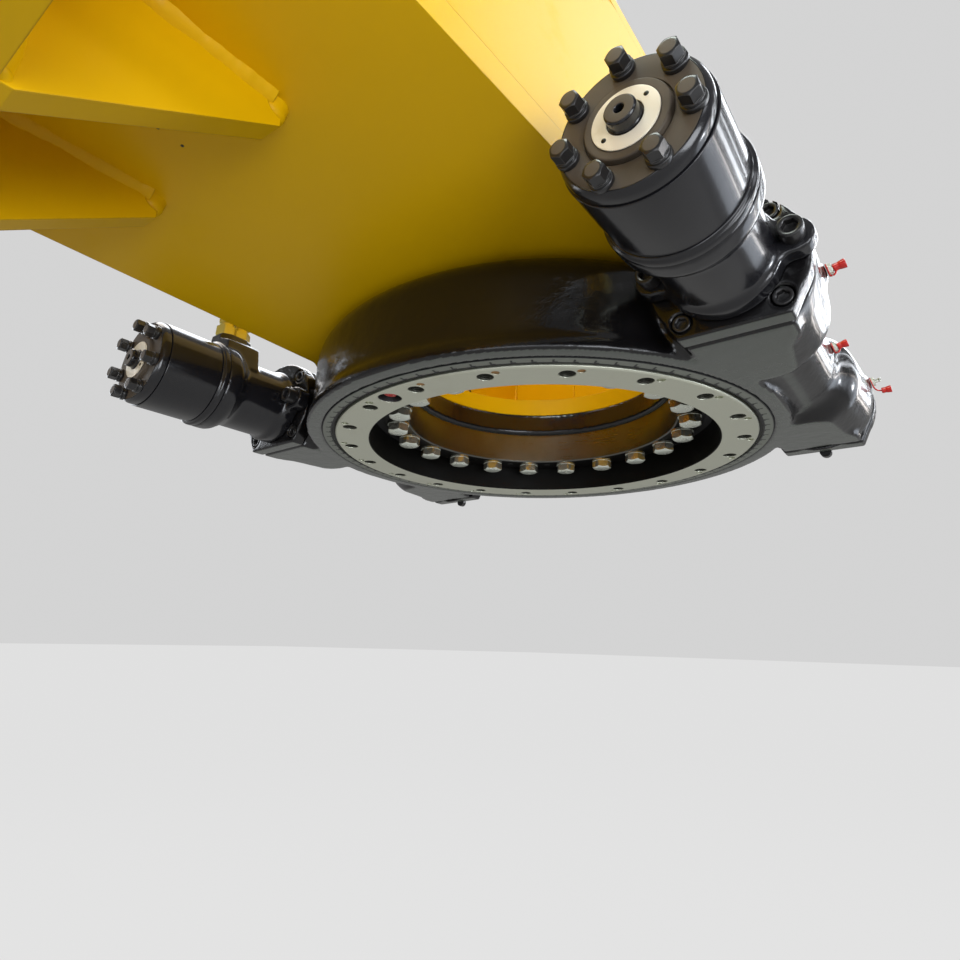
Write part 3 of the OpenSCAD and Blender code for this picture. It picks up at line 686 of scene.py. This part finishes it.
def tube(shape, points, radius, matrix=Matrix(), sides=10):
    """Sweep a round section along a path of points, closed at both ends."""
    places = [Vector(point) * MM for point in points]
    rings = []
    for i, here in enumerate(places):
        ahead = places[min(i + 1, len(places) - 1)] - places[max(i - 1, 0)]
        turn = ahead.to_track_quat("Z", "Y").to_matrix()
        ring = []
        for angle in (math.tau * k / sides for k in range(sides)):
            spot = Vector((math.cos(angle), math.sin(angle), 0)) * radius * MM
            ring.append(shape.verts.new(matrix @ (here + turn @ spot)))
        rings.append(ring)
    poles = [[shape.verts.new(matrix @ end)] * sides for end in (places[0], places[-1])]
    join(shape, [poles[0], *rings, poles[1]])


# %% Pieces
def mesh_of(name, shape):
    """A mesh from a bmesh, with its faces pointing outwards."""
    bmesh.ops.recalc_face_normals(shape, faces=shape.faces)
    mesh = bpy.data.meshes.new(name)
    shape.to_mesh(mesh)
    shape.free()
    return mesh


def piece(name, form, slot, body="frame", stands_for=(), sharp=35, finish=None):
    """Make a mesh or a shape a piece that rides on a body, with its finish and shading."""
    mesh = form if isinstance(form, bpy.types.Mesh) else mesh_of(name, form)
    mesh.materials.clear()
    mesh.materials.append(FINISHES[finish or slot])
    mesh.shade_smooth()
    mesh.set_sharp_from_angle(angle=math.radians(sharp))
    made = bpy.data.objects.new(name, mesh)
    scene.collection.objects.link(made)
    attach(made, body)
    if stands_for:
        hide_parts(*stands_for)


def turned(name, profile, slot, matrix=Matrix(), count=128, closed=False, **options):
    """A lathe-turned piece from a profile of (along, radius, corner) points."""
    piece(name, lathe(profile, matrix, count, closed), slot, **options)


def evaluated(source):
    """A plain mesh of an object with its modifiers applied; the object is removed."""
    bpy.context.view_layer.update()
    graph = bpy.context.evaluated_depsgraph_get()
    mesh = bpy.data.meshes.new_from_object(source.evaluated_get(graph))
    bpy.data.objects.remove(source)
    return mesh


# %% [markdown]
# ## Geometry Nodes
#
# Two trees make what repeats. *Around a circle* copies a template onto a
# bolt circle, and each copy may be turned a little, as spanners leave bolts.
# *Weld bead* sweeps a bead along a curve, with the ripples that each drop of
# metal leaves.


# %% Trees
def geometry_tree(name, inputs):
    """A new Geometry Nodes tree with its inputs; returns the tree and both ends."""
    tree = bpy.data.node_groups.new(name, "GeometryNodeTree")
    tree.is_modifier = True
    for label, kind in {"Geometry": "Geometry", **inputs}.items():
        tree.interface.new_socket(label, in_out="INPUT", socket_type="NodeSocket" + kind)
    tree.interface.new_socket("Geometry", in_out="OUTPUT", socket_type="NodeSocketGeometry")
    return both_ends(tree)


def finished(tree, geometry, finish, result):
    """End a tree in Realize Instances and Set Material."""
    real = add(tree, "GeometryNodeRealizeInstances", Geometry=geometry)
    coated = add(tree, "GeometryNodeSetMaterial", Geometry=real.outputs[0], Material=finish)
    tree.links.new(coated.outputs[0], result["Geometry"])


def circle_tree():
    tree, given, result = geometry_tree("Around a circle", {
        "Template": "Object", "Count": "Int", "Radius": "Float", "Phase": "Float",
        "Twist": "Float", "Finish": "Material",
    })
    index = tree.nodes.new("GeometryNodeInputIndex").outputs[0]
    step = calc(tree, "DIVIDE", math.tau, given["Count"])
    angle = calc(tree, "MULTIPLY_ADD", index, step, given["Phase"])
    place = add(
        tree, "ShaderNodeCombineXYZ",
        X=calc(tree, "MULTIPLY", calc(tree, "COSINE", angle), given["Radius"]),
        Y=calc(tree, "MULTIPLY", calc(tree, "SINE", angle), given["Radius"]),
    )
    points = add(tree, "GeometryNodePoints", Count=given["Count"], Position=place.outputs[0])
    chance = add(tree, "FunctionNodeRandomValue", {"data_type": "FLOAT"}, Seed=7)
    turn = calc(tree, "MULTIPLY_ADD", chance.outputs[1], given["Twist"], angle)
    template = add(tree, "GeometryNodeObjectInfo", Object=given["Template"])
    copies = add(
        tree, "GeometryNodeInstanceOnPoints", Points=points.outputs[0],
        Instance=template.outputs["Geometry"],
        Rotation=add(tree, "ShaderNodeCombineXYZ", Z=turn).outputs[0],
    )
    finished(tree, copies.outputs[0], given["Finish"], result)
    return tree


MEAN_SWELL = 0.8
DRIFT = 0.4


def bead_tree():
    tree, given, result = geometry_tree("Weld bead", {
        "Bead": "Float", "Ripple": "Float", "Step": "Float", "Sides": "Int",
        "Finish": "Material",
    })
    step = calc(tree, "DIVIDE", given["Step"], 4.0)
    fine = add(tree, "GeometryNodeResampleCurve", {"mode": "LENGTH"},
               Curve=given["Geometry"], Length=step)
    length = tree.nodes.new("GeometryNodeSplineParameter").outputs["Length"]
    drops = calc(tree, "DIVIDE", length, given["Step"])
    wave = calc(tree, "SINE", calc(tree, "MULTIPLY", drops, math.tau))
    here = tree.nodes.new("GeometryNodeInputPosition").outputs[0]
    swell = calc(tree, "MULTIPLY_ADD", wave, given["Ripple"], MEAN_SWELL)
    swell = calc(tree, "MULTIPLY_ADD", cloud(tree, 45.0, 2.0, here), DRIFT, swell)
    section = add(tree, "GeometryNodeCurvePrimitiveCircle", Resolution=given["Sides"],
                  Radius=given["Bead"])
    swept = add(
        tree, "GeometryNodeCurveToMesh", Curve=fine.outputs[0],
        Profile_Curve=section.outputs[0], Scale=swell, Fill_Caps=True,
    )
    finished(tree, swept.outputs[0], given["Finish"], result)
    return tree


def run_tree(tree, source, **inputs):
    """Run a tree on an object and return the result as a plain mesh."""
    scene.collection.objects.link(source)
    nodes = source.modifiers.new(tree.name, "NODES")
    nodes.node_group = tree
    for item in tree.interface.items_tree:
        if item.in_out == "INPUT" and item.name in inputs:
            nodes[item.identifier] = inputs[item.name]
    return evaluated(source)


def on_circle(name, shape, count, radius, phase, slot, finish=None, twist=0.0,
              matrix=Matrix(), **options):
    """A piece of copies of a shape around local z, from phase on; matrix places it."""
    template = bpy.data.objects.new("template", mesh_of("template", shape))
    host = bpy.data.objects.new("circle", bpy.data.meshes.new("circle"))
    mesh = run_tree(CIRCLE_TREE, host, Template=template, Count=count, Radius=radius * MM,
                    Phase=math.radians(phase), Twist=twist, Finish=FINISHES[finish or slot])
    bpy.data.objects.remove(template)
    mesh.transform(matrix)
    if matrix.determinant() < 0:
        mesh.flip_normals()
    piece(name, mesh, slot, finish=finish, **options)


def bead(name, paths, radius, ripple=0.012, step=7, sides=32):
    """A piece of painted weld beads along open paths of points."""
    curve = bpy.data.curves.new("seam", "CURVE")
    curve.dimensions = "3D"
    for path in paths:
        spline = curve.splines.new("POLY")
        spline.points.add(len(path) - 1)
        for point, place in zip(spline.points, path):
            point.co = (*(Vector(place) * MM), 1)
    seam = bpy.data.objects.new("seam", curve)
    mesh = run_tree(BEAD_TREE, seam, Bead=radius * MM, Ripple=ripple, Step=step * MM,
                    Sides=sides, Finish=FINISHES["yellow_paint"])
    piece(name, mesh, "yellow_paint", sharp=60)
    print(name, "faces:", len(mesh.polygons))


CIRCLE_TREE = circle_tree()
BEAD_TREE = bead_tree()
print("trees:", CIRCLE_TREE.name, "and", BEAD_TREE.name)

# %% [markdown]
# ## Castings
#
# The housing, the adapter plates, the end caps and the motor bodies are
# castings: their corners and joints are round, while their machined faces
# are flat. A twin of the CAD solid is remeshed into small even cells and
# relaxed, which rounds every corner as a casting pattern does. On the
# housing, vertices near a machined face are held.


# %% Cast twins
def ramp(value, low, high):
    """0 below low, 1 above high, smooth between."""
    share = min(max((value - low) / (high - low), 0.0), 1.0)
    return share * share * (3 - 2 * share)


def cast_twin(node, cell, passes, free=lambda place: 1.0):
    """Remesh and relax a copy of a CAD node's mesh; free() is 0 where it is held."""
    host = bpy.data.objects.new(node, frame["nodes"][node].data.copy())
    scene.collection.objects.link(host)
    weld = host.modifiers.new("weld", "WELD")
    weld.merge_threshold = 0.01 * MM
    cells = host.modifiers.new("cells", "REMESH")
    cells.mode = "VOXEL"
    cells.voxel_size = cell * MM
    mesh = evaluated(host)
    host = bpy.data.objects.new(node, mesh)
    scene.collection.objects.link(host)
    group = host.vertex_groups.new(name="free")
    for vertex in mesh.vertices:
        group.add([vertex.index], free(vertex.co / MM), "REPLACE")
    relax = host.modifiers.new("relax", "SMOOTH")
    relax.factor = 0.5
    relax.iterations = passes
    relax.vertex_group = "free"
    return evaluated(host)


# %% Housing
housing_low, housing_high = box_mm("gear_housing")
HOUSING_CELL = 3.15
HOUSING_PASSES = 11
LAND = 1.2


def housing_free(place):
    """The housing's flat underside and top are machined."""
    bottom = ramp(place.z, housing_low.z + LAND, housing_low.z + 4 * LAND)
    top = ramp(housing_high.z - place.z, LAND, 4 * LAND)
    return min(bottom, top)


housing_mesh = cast_twin("gear_housing", HOUSING_CELL, HOUSING_PASSES, housing_free)
print("housing faces:", len(housing_mesh.polygons))
piece("housing", housing_mesh, "housing_paint", stands_for=["gear_housing"], sharp=180)

# %% Adapter plates, end caps and motor bodies
CASTINGS = {
    "adapter": (1.5, 6, "housing_paint"),
    "end_cap": (1.7, 8, "housing_paint"),
    "motor_body": (1.6, 9, "motor_paint"),
}
PORT_DROP = 8
PORT_PLACE = 23
PORT_NARROWING = 0.40
PORT_END_NARROWING = 0.22


def narrow_port_block(mesh, side):
    """Draw the port block in towards its top, most at its ends, and lower its top."""
    sign = SIDES[side]
    middle = along(f"motor_body_{side}")[1] - PORT_PLACE
    for vertex in mesh.vertices:
        x, y, z = vertex.co / MM
        rise = ramp(z - WORM_Z, 50, 62)
        near_end = ramp(abs(-y - middle), 9, 21)
        narrowing = rise * (PORT_NARROWING + PORT_END_NARROWING * near_end)
        x = sign * (WORM_X + (sign * x - WORM_X) * (1 - narrowing))
        z -= PORT_DROP * ramp(z - WORM_Z, 54, 75)
        vertex.co = Vector((x, y, z)) * MM


for side in SIDES:
    for kind, (cell, passes, slot) in CASTINGS.items():
        node = f"{kind}_{side}"
        mesh = cast_twin(node, cell, passes)
        if kind == "motor_body":
            narrow_port_block(mesh, side)
        piece(f"{node}_casting", mesh, slot, stands_for=[node], sharp=180)
        print(node, "faces:", len(mesh.polygons))

# %% [markdown]
# ## Motors
#
# A hydraulic orbit motor is a stack of turned discs behind its body: the
# spacer disc, the gear section and the end cover. Seven bolts hold the
# stack. Thin grooves show where the discs meet, and each rim is rounded.

# %% Turned stack
COVER_BOSS = 3
for side, place in WORMS.items():
    s0, s1 = along(f"motor_spacer_{side}")
    s2, s3 = along(f"motor_gear_{side}")
    s4, s6 = along(f"motor_cover_{side}")
    s5 = s6 - COVER_BOSS
    spacer_r = half_width(f"motor_spacer_{side}")
    gear_r = half_width(f"motor_gear_{side}")
    cover_r = half_width(f"motor_cover_{side}")
    face_r = cover_r - 3.7
    turned(f"spacer_disc_{side}", [
        (s0, 0), (s0, spacer_r - 0.6), (s0 + 0.6, spacer_r, 0.4), (s1 - 3.0, spacer_r, 1.6),
        (s1 - 1.8, gear_r + 1.2, 0.8), (s1 - 0.5, gear_r + 0.9, 0.4), (s1, gear_r - 0.3),
        (s1, 0),
    ], "motor_paint", place, stands_for=[f"motor_spacer_{side}"])
    turned(f"gear_section_{side}", [
        (s2, 0), (s2, gear_r - 0.4), (s2 + 0.5, gear_r, 0.3), (s3 - 0.4, gear_r, 0.25),
        (s3, gear_r - 0.35), (s3, 0),
    ], "motor_paint", place, stands_for=[f"motor_gear_{side}"])
    turned(f"end_cover_{side}", [
        (s4, 0), (s4, cover_r - 0.3), (s4 + 0.4, cover_r, 0.25), (s5 - 3.6, cover_r, 2.4),
        (s5, cover_r - 2.8, 2.4), (s5, cover_r - 3.6), (s5 - 2.4, face_r), (s5 - 2.4, 0),
    ], "motor_paint", place, stands_for=[f"motor_cover_{side}"])
    turned(f"cover_face_{side}", [
        (s5 - 2.3, 0), (s5 - 2.3, face_r), (s5, face_r, 0.2), (s5, 28.0, 0.2),
        (s5 - 2.0, 27.7, 0.2), (s5 - 2.0, 26.9, 0.2), (s6 - 0.7, 26.6, 0.5),
        (s6, 25.9, 0.5), (s6, 21.6, 0.1), (s6 - 0.3, 21.4), (s6 - 0.3, 0),
    ], "motor_paint", place, finish="dusty_paint")
    print(side, "motor stack:", [round(value, 1) for value in (s0, s1, s2, s3, s4, s5, s6)])

# %% Cover bolts, label ring and plug
COVER_BOLTS = 7
COVER_BOLT_R = 38.8
COVER_BOLT_PHASE = {"right": 140.8, "left": 89.7}
BOLT_FLANGE = 5.5
RIVET_R = 16.5
RIVET_ANGLES = (35, 215)
for side, place in WORMS.items():
    phase = COVER_BOLT_PHASE[side]
    start, end = along(f"motor_bolts_{side}")
    bolt = lathe([
        (start, 0), (start, 7.4, 0.4), (start + 3.2, 7.7, 1.0), (start + 3.6, 6.2, 0.3),
        (start + 4.4, 6.1, 0.3), (start + 5.0, 7.2, 0.5), (start + 5.6, 7.0, 0.4),
        (start + 5.8, 0),
    ], count=48)
    bolt_head(bolt, 12, start + BOLT_FLANGE, end - start - BOLT_FLANGE - 0.13)
    on_circle(f"cover_bolts_{side}", bolt, COVER_BOLTS, COVER_BOLT_R, phase, "bolt_black",
              twist=0.9, matrix=place, stands_for=[f"motor_bolts_{side}"], sharp=28)
    face = lathe([
        (end - 1, 0), (end - 1, 5.0), (end - 0.06, 5.0, 0.2), (end, 4.4), (end, 0),
    ], count=32)
    on_circle(f"bolt_faces_{side}", face, COVER_BOLTS, COVER_BOLT_R, phase, "bolt_black",
              finish="dusty_paint", matrix=place)
    start, end = along(f"motor_ring_{side}")
    plate = start + 0.8
    turned(f"label_ring_{side}", [
        (start, 11.5), (start, 21), (plate, 21, 0.3), (plate, 11.5, 0.3),
    ], "label_metal", place, count=96, closed=True, stands_for=[f"motor_ring_{side}"])
    rivets = bmesh.new()
    for angle in RIVET_ANGLES:
        skin(rivets, rounded([
            (plate - 0.5, 0), (plate - 0.5, 1.7), (end - 0.3, 1.5, 0.3), (end, 0.8, 0.4),
            (end, 0),
        ]), place @ rotate(angle) @ at(RIVET_R, 0, 0), count=24)
    piece(f"label_rivets_{side}", rivets, "label_metal", finish="thread_steel")
    start, end = along(f"motor_plug_{side}")
    turned(f"plug_{side}", [
        (start, 0), (start, 10.5), (start + 1, 10.5, 0.5), (start + 1.6, 9.9, 0.3),
        (end - 1.1, 9.9, 0.9), (end - 0.2, 8.9), (end - 0.2, 3.4), (end - 0.7, 3.0),
        (start + 2.5, 3.0), (start + 2.0, 0),
    ], "motor_paint", place, stands_for=[f"motor_plug_{side}"])
    turned(f"plug_face_{side}", [
        (end - 0.3, 3.2), (end - 0.3, 9.0), (end, 8.7, 0.2), (end, 3.4, 0.2),
    ], "motor_paint", place, closed=True, finish="dusty_paint")

# %% Socket screws in the flanges, the adapters and the end caps
FLANGE_SCREW_R = 53.2
END_CAP_SCREW_R = 52
for side, place in WORMS.items():
    start, end = along(f"motor_screws_{side}")
    screws = bmesh.new()
    for x in (-FLANGE_SCREW_R, FLANGE_SCREW_R):
        socket_head(screws, 18, start, end - start, place @ at(x, 0, 0))
    piece(f"flange_screws_{side}", screws, "bolt_black", stands_for=[f"motor_screws_{side}"])
    start, end = along(f"adapter_screws_{side}")
    screw = bmesh.new()
    socket_head(screw, 15, start, end - start)
    on_circle(f"sunk_screws_{side}", screw, 4, FLANGE_SCREW_R, 45, "bolt_black", twist=0.8,
              matrix=place, stands_for=[f"adapter_screws_{side}"])
    end, start = along(f"cap_screws_{side}")
    screw = bmesh.new()
    socket_head(screw, 13, 0, start - end)
    far = place @ at(0, 0, start) @ DOWN
    on_circle(f"end_cap_screws_{side}", screw, 6, END_CAP_SCREW_R, 30, "bolt_black",
              twist=0.8, matrix=far, stands_for=[f"cap_screws_{side}"])
print("screws placed")

# %% [markdown]
# ## Rings and their bolts
#
# Hexagon bolts on washers hold the inner ring from below. Zinc plating is
# pale on the turned faces and amber on some flats, and painted shade makes
# the upright flats duller. The turning ring's holes are tapped, so thin
# ridges stand in them, and a little rust fills three of the drill marks
# beside them. Dark inserts lie in the retainer's notches and dark rings in
# the seams on both its sides. A red plug closes the hole for the grease.

# %% Bolts and washers of the inner ring
RING_PHASE = 1.3
RING_COUNT = 20
INNER_BOLT_R = 179
bolts_low, bolts_high = box_mm("inner_bolts")
washers_low, washers_high = box_mm("inner_washers")
HEAD_H = washers_low.z - bolts_low.z

bolt = bmesh.new()
bolt_head(bolt, 24, 0, HEAD_H - 0.25, at(0, 0, washers_low.z) @ DOWN)
skin(bolt, rounded([
    (washers_low.z - 1, 0), (washers_low.z - 1, 8), (bolts_high.z, 8, 1.6), (bolts_high.z, 0),
]), count=24)
on_circle("ring_bolts", bolt, RING_COUNT, INNER_BOLT_R, RING_PHASE, "zinc", twist=1.0,
          stands_for=["inner_bolts"], sharp=28)
washer = lathe([
    (washers_low.z, 8.6), (washers_low.z, 13.8, 0.6), (washers_high.z, 13.8, 0.4),
    (washers_high.z, 8.6),
], count=48, closed=True)
on_circle("ring_washers", washer, RING_COUNT, INNER_BOLT_R, RING_PHASE, "zinc",
          stands_for=["inner_washers"])
print("ring bolts:", RING_COUNT, "head height", round(HEAD_H, 2), "mm")

# %% Threads, drill marks and jack screws
RING_R = 235
THREAD_PITCH = 2
THREAD_TURNS = 10
rows = [(1.0, 8.05), (1.0, 7.9)]
for k in range(THREAD_TURNS):
    rows += [(1.6 + (k + 0.5) * THREAD_PITCH, 7.0), (1.6 + (k + 1) * THREAD_PITCH, 7.9)]
rows.append((rows[-1][0], 8.05))
on_circle("ring_threads", lathe(rows, count=28, closed=True), RING_COUNT, RING_R,
          RING_PHASE, "ring_steel", finish="thread_steel", body="ring")
MARKED_HOLES = (15, 16, 17)
MARK_LAG = 2.75
MARK_R = RING_R + 7.3
marks = bmesh.new()
for hole in MARKED_HOLES:
    angle = RING_PHASE + hole * 360 / RING_COUNT + MARK_LAG
    skin(marks, rounded([
        (2.98, 0), (2.98, 3.9), (1.0, 3.95), (1.5, 3.4, 0.2), (2.4, 0),
    ]), rotate(angle) @ at(MARK_R, 0, 0), count=24)
piece("drill_marks", marks, "ring_steel", body="ring", finish="rusty_steel")
inner_low = box_mm("inner_ring")[0]
JACK_R = 180
JACK_ANGLES = (118.3, 136.3, 298.3, 316.3)
socket = hexagon(4)
jacks = bmesh.new()
for angle in JACK_ANGLES:
    skin(jacks, [
        (-1, 0), (-1, 4.2), (0.15, 4.2), (0.05, 3.6), (0.05, socket), (-0.8, socket),
        (-0.8, 0),
    ], rotate(angle) @ at(JACK_R, 0, inner_low.z) @ DOWN, count=24)
piece("jack_screws", jacks, "bolt_black")
print("threads, marks and jack screws placed")

# %% Dark inserts in the retainer's notches and dark rings in the seams on both its sides
retainer_low, retainer_high = box_mm("seal_retainer")
RETAINER_W = 10.5
OUTER_R = retainer_high.x
INNER_R = OUTER_R - RETAINER_W
BELOW = retainer_low.z
NOTCH_COUNT = 90
NOTCH_SHARE = 0.65
NOTCH_END = RETAINER_W * NOTCH_SHARE + 0.1
outline = [(1.0, -0.95), (NOTCH_END, -0.95), (NOTCH_END, 0.95), (3.0, 0.95), (3.0, 3.8),
           (1.0, 3.8)]
notch = bmesh.new()
layers = [[notch.verts.new(Vector((x, y, BELOW + depth)) * MM) for x, y in outline]
          for depth in (-0.05, 1.9)]
notch.faces.new(layers[0])
notch.faces.new(list(reversed(layers[1])))
join(notch, layers)
# Thin dark inserts lie at the bottoms of the shallow notches.
on_circle("notch_dirt", notch, NOTCH_COUNT, INNER_R, 0, "retainer_paint",
          finish="seal_rubber")
# Thin dark rings lie in the seams on both sides of the retainer.
for name, inside, outside, depth in (
    ("retainer_seam", OUTER_R - 0.35, OUTER_R + 0.65, 1),
    ("seal_gap_dirt", INNER_R - 0.05, INNER_R + 1.6, 0.5),
):
    turned(name, [
        (BELOW - 0.06, inside), (BELOW - 0.06, outside), (BELOW + depth, outside),
        (BELOW + depth, inside),
    ], "retainer_paint", count=180, closed=True, finish="seal_rubber")
print("notches:", NOTCH_COUNT)

# %% Plug of the greasing hole
PLUG_TILT = 9
plug_low, plug_high = box_mm("ring_plug")
seat_place = at((plug_low.x + plug_high.x) / 2, (plug_low.y + plug_high.y) / 2, plug_high.z)
turned("plug_seat", [
    (0.05, 0), (0.05, 12.05), (-7.4, 12.0, 0.2), (-6.6, 11.3, 0.4), (-0.5, 11.0, 0.8),
    (-0.4, 0),
], "seal_rubber", seat_place, count=48, body="ring")
turned("grease_plug", [
    (0, 0), (0, 6.6), (1.2, 7.2, 0.6), (3.2, 7.0, 0.5), (4.9, 5.6, 1.2), (4.9, 3.2, 0.5),
    (3.4, 2.6, 0.4), (3.4, 0),
], "red_plastic", seat_place @ rotate(PLUG_TILT, "Y") @ DOWN, count=40, body="ring",
    stands_for=["ring_plug"])
print("plug tilted by", PLUG_TILT, "degrees")

# %% [markdown]
# ## Ports and grease nipples
#
# Each motor has two oil ports, closed by brass coloured nuts and caps. Each
# tunnel has three grease nipples. A soft red cap on a strap keeps each one
# clean, and one cap has come off and hangs by its strap.


# %% Port fittings
def chamfered_nut(shape, across, start, height, matrix):
    """A hexagon nut with both ends turned off at 30 degrees."""
    flat = hexagon(across)
    crown = across * 0.48
    top = start + height

    def cut(angle):
        return max(flat(angle) - crown, 0) * CHAMFER_SLOPE

    skin(shape, [
        (start, 0), (start, crown), (lambda angle: start + cut(angle), flat),
        (lambda angle: top - cut(angle), flat), (top, crown), (top, 0),
    ], matrix, count=48)


PORT_INSET = 12.7
NUT_TWIST = 0.04
for side, sign in SIDES.items():
    low, high = box_mm(f"port_fittings_{side}")
    fittings = bmesh.new()
    for port in (low.y + PORT_INSET, high.y - PORT_INSET):
        spot = at(sign * WORM_X, port, low.z) @ Matrix.Rotation(port * NUT_TWIST, 4, "Z")
        chamfered_nut(fittings, 21, -PORT_DROP - 0.5, 13, spot)
        skin(fittings, [(4, 0), (4, 8), (9.5, 8), (9.5, 0)], spot, count=32)
        chamfered_nut(fittings, 18, 9, 19, spot)
        skin(fittings, rounded([(27.5, 0), (27.5, 6), (32.8, 6, 1.2), (32.8, 0)]), spot,
             count=32)
    piece(f"port_nuts_{side}", fittings, "brass", stands_for=[f"port_fittings_{side}"],
          sharp=28)
print("port nuts placed")

# %% Grease nipples
NIPPLE_TILT = 10
NIPPLE_REACHES = {120: 64.1, -30: 44.1, -160: 64.1}
HANGING_CAP = ("right", -160)
CAP_PROFILE = [
    (0, 0), (0, 3.0), (0.8, 3.3, 0.5), (4.0, 3.1, 1.0), (5.4, 3.6, 0.8), (9.4, 4.1, 0.8),
    (9.6, 3.4, 0.3), (9.2, 0),
]
for side, worm in WORMS.items():
    nipples = bmesh.new()
    caps = bmesh.new()
    for place, reach in NIPPLE_REACHES.items():
        pad = worm @ at(0, 0, place) @ rotate(NIPPLE_TILT) @ rotate(90, "Y")
        spot = pad @ at(0, 0, reach)
        bolt_head(nipples, 9, 0, 4.2, spot)
        skin(nipples, rounded([
            (4, 0), (4, 2.6), (6.2, 2.3, 0.6), (7.4, 1.7, 0.6), (9.0, 2.5, 0.8),
            (10.4, 1.6, 0.5), (10.4, 0),
        ]), spot, count=24)
        skin(caps, rounded([
            (-0.1, 4.0), (-0.1, 5.6, 0.4), (1.1, 5.6, 0.4), (1.1, 4.0),
        ]), spot, count=32, closed=True)
        if (side, place) == HANGING_CAP:
            cap_spot = spot @ at(2.0, -12.5, 6.5) @ rotate(8, "X")
            strap = ((0, -5.5, 0.6), (0, -12, 1), (3, -12, 6.8))
        else:
            cap_spot = spot @ at(0, 0, 4.6)
            strap = ((0, -5.4, 0.6), (0, -7.6, 3.5), (0, -3.2, 6.0))
        skin(caps, rounded(CAP_PROFILE), cap_spot, count=32)
        tube(caps, bow(*(Vector(point) for point in strap), steps=8), 0.8, spot)
    piece(f"nipples_{side}", nipples, "zinc", stands_for=[f"grease_nipples_{side}"], sharp=28)
    piece(f"red_caps_{side}", caps, "red_plastic", stands_for=[f"nipple_caps_{side}"])
print("nipples and caps placed")

# %% [markdown]
# ## Weld seams
#
# The beam is welded from plates, so a bead lies in each corner where two of
# them meet. The beads of the gussets run round the tips, where the welder
# stopped and left a lump. They are thick under their paint, so their ripples
# are weak. The other beads are thin and show more of the drops.

# %% Gusset welds
plate_low, plate_high = box_mm("carrier_plate")
rear_low, rear_high = box_mm("rear_wall")
end_high = box_mm("end_wall")[1]
wall_high = box_mm("side_wall_right")[1]
UNDER = plate_low.z
OVER = plate_high.z
END_Y = end_high.y
SINK = 5.5
END_SINK = 4


def upright(x, y, low, high):
    """A straight path that goes up at one place."""
    return [(x, y, low), (x, y, high)]


gusset_paths = []
end_paths = []
lumps = bmesh.new()
for side in SIDES:
    low, high = box_mm(f"gusset_{side}")
    middle = (low.x + high.x) / 2
    tip = high.y
    for x in (high.x - SINK, low.x + SINK):
        gusset_paths.append([(x, END_Y, UNDER + SINK), (x, tip - 8, UNDER + SINK)])
        end_paths.append(upright(x, END_Y - END_SINK, low.z + 5, UNDER))
        skin(lumps, rounded([
            (7, 0), (6, 10.8), (3, 10.8, 2), (0.6, 8, 3), (0.5, 0),
        ]), at(x, END_Y - END_SINK, low.z), count=32)
    skin(lumps, rounded([
        (2, 0), (1, 12.5, 0.5), (-3, 11.5, 2), (-9, 10.6, 4), (-14, 6, 4), (-14.6, 0),
    ]), at(middle, tip - 4, UNDER), count=32)
bead("gusset_welds", gusset_paths, 12.5)
bead("gusset_end_welds", end_paths, 10.6)
piece("weld_lumps", lumps, "yellow_paint", sharp=60)

# %% Seams of the beam
WALL_T = rear_high.y - rear_low.y
TAPER_Y = -200
WIDE = wall_high.x
NARROW = end_high.x
TOP = wall_high.z
EAR_END = math.sqrt(plate_high.x ** 2 - WIDE ** 2) - 14
REAR_X = -84
seams = []
for sign in (1, -1):
    wide, narrow = (sign * (reach - WALL_T) for reach in (WIDE, NARROW))
    for height in (OVER, TOP):
        seams.append([(wide, rear_low.y, height), (wide, TAPER_Y, height),
                      (narrow, END_Y, height)])
    seams.append(upright(wide, rear_low.y, OVER, TOP))
    seams.append([(sign * WIDE, -EAR_END, OVER), (sign * WIDE, EAR_END, OVER)])
    seams.append(upright(narrow, END_Y, OVER, TOP))
for half, y, z in (
    (WIDE - WALL_T, rear_low.y, OVER), (WIDE - 5, rear_high.y, OVER),
    (NARROW - WALL_T, END_Y, OVER), (NARROW - 5, END_Y, UNDER),
    (WIDE - WALL_T, rear_low.y, TOP),
):
    seams.append([(-half, y, z), (half, y, z)])
bead("beam_welds", seams, 4.2, ripple=0.10, step=9, sides=10)
wall_joint = upright(REAR_X, rear_low.y, OVER, TOP)
bead("wall_joint", [wall_joint], 1.6, ripple=0.04, step=8, sides=8)

# %% Dark discs that paint the shade of small holes in the inner walls and of pits in the plate
# The walls and the plate are solid here, so dark steel discs paint the shade of the holes and
# pits.
spots = bmesh.new()
for spot, r in (
    (at(-76.7, rear_low.y, 164.8) @ rotate(90, "X"), 3.8),
    (at(WALL_T - WIDE, 113.2, 163.7) @ rotate(90, "Y"), 3.4),
    (at(1, -505, UNDER) @ DOWN, 1.3),
    (at(-1, -486, UNDER) @ DOWN, 1.2),
):
    skin(spots, [
        (-1, 0), (-1, r), (0.25, r), (0.3, r * 0.85), (0.1, r * 0.8), (0.1, 0),
    ], spot, count=24)
piece("small_holes", spots, "yellow_paint", finish="thread_steel")
print("small holes placed")
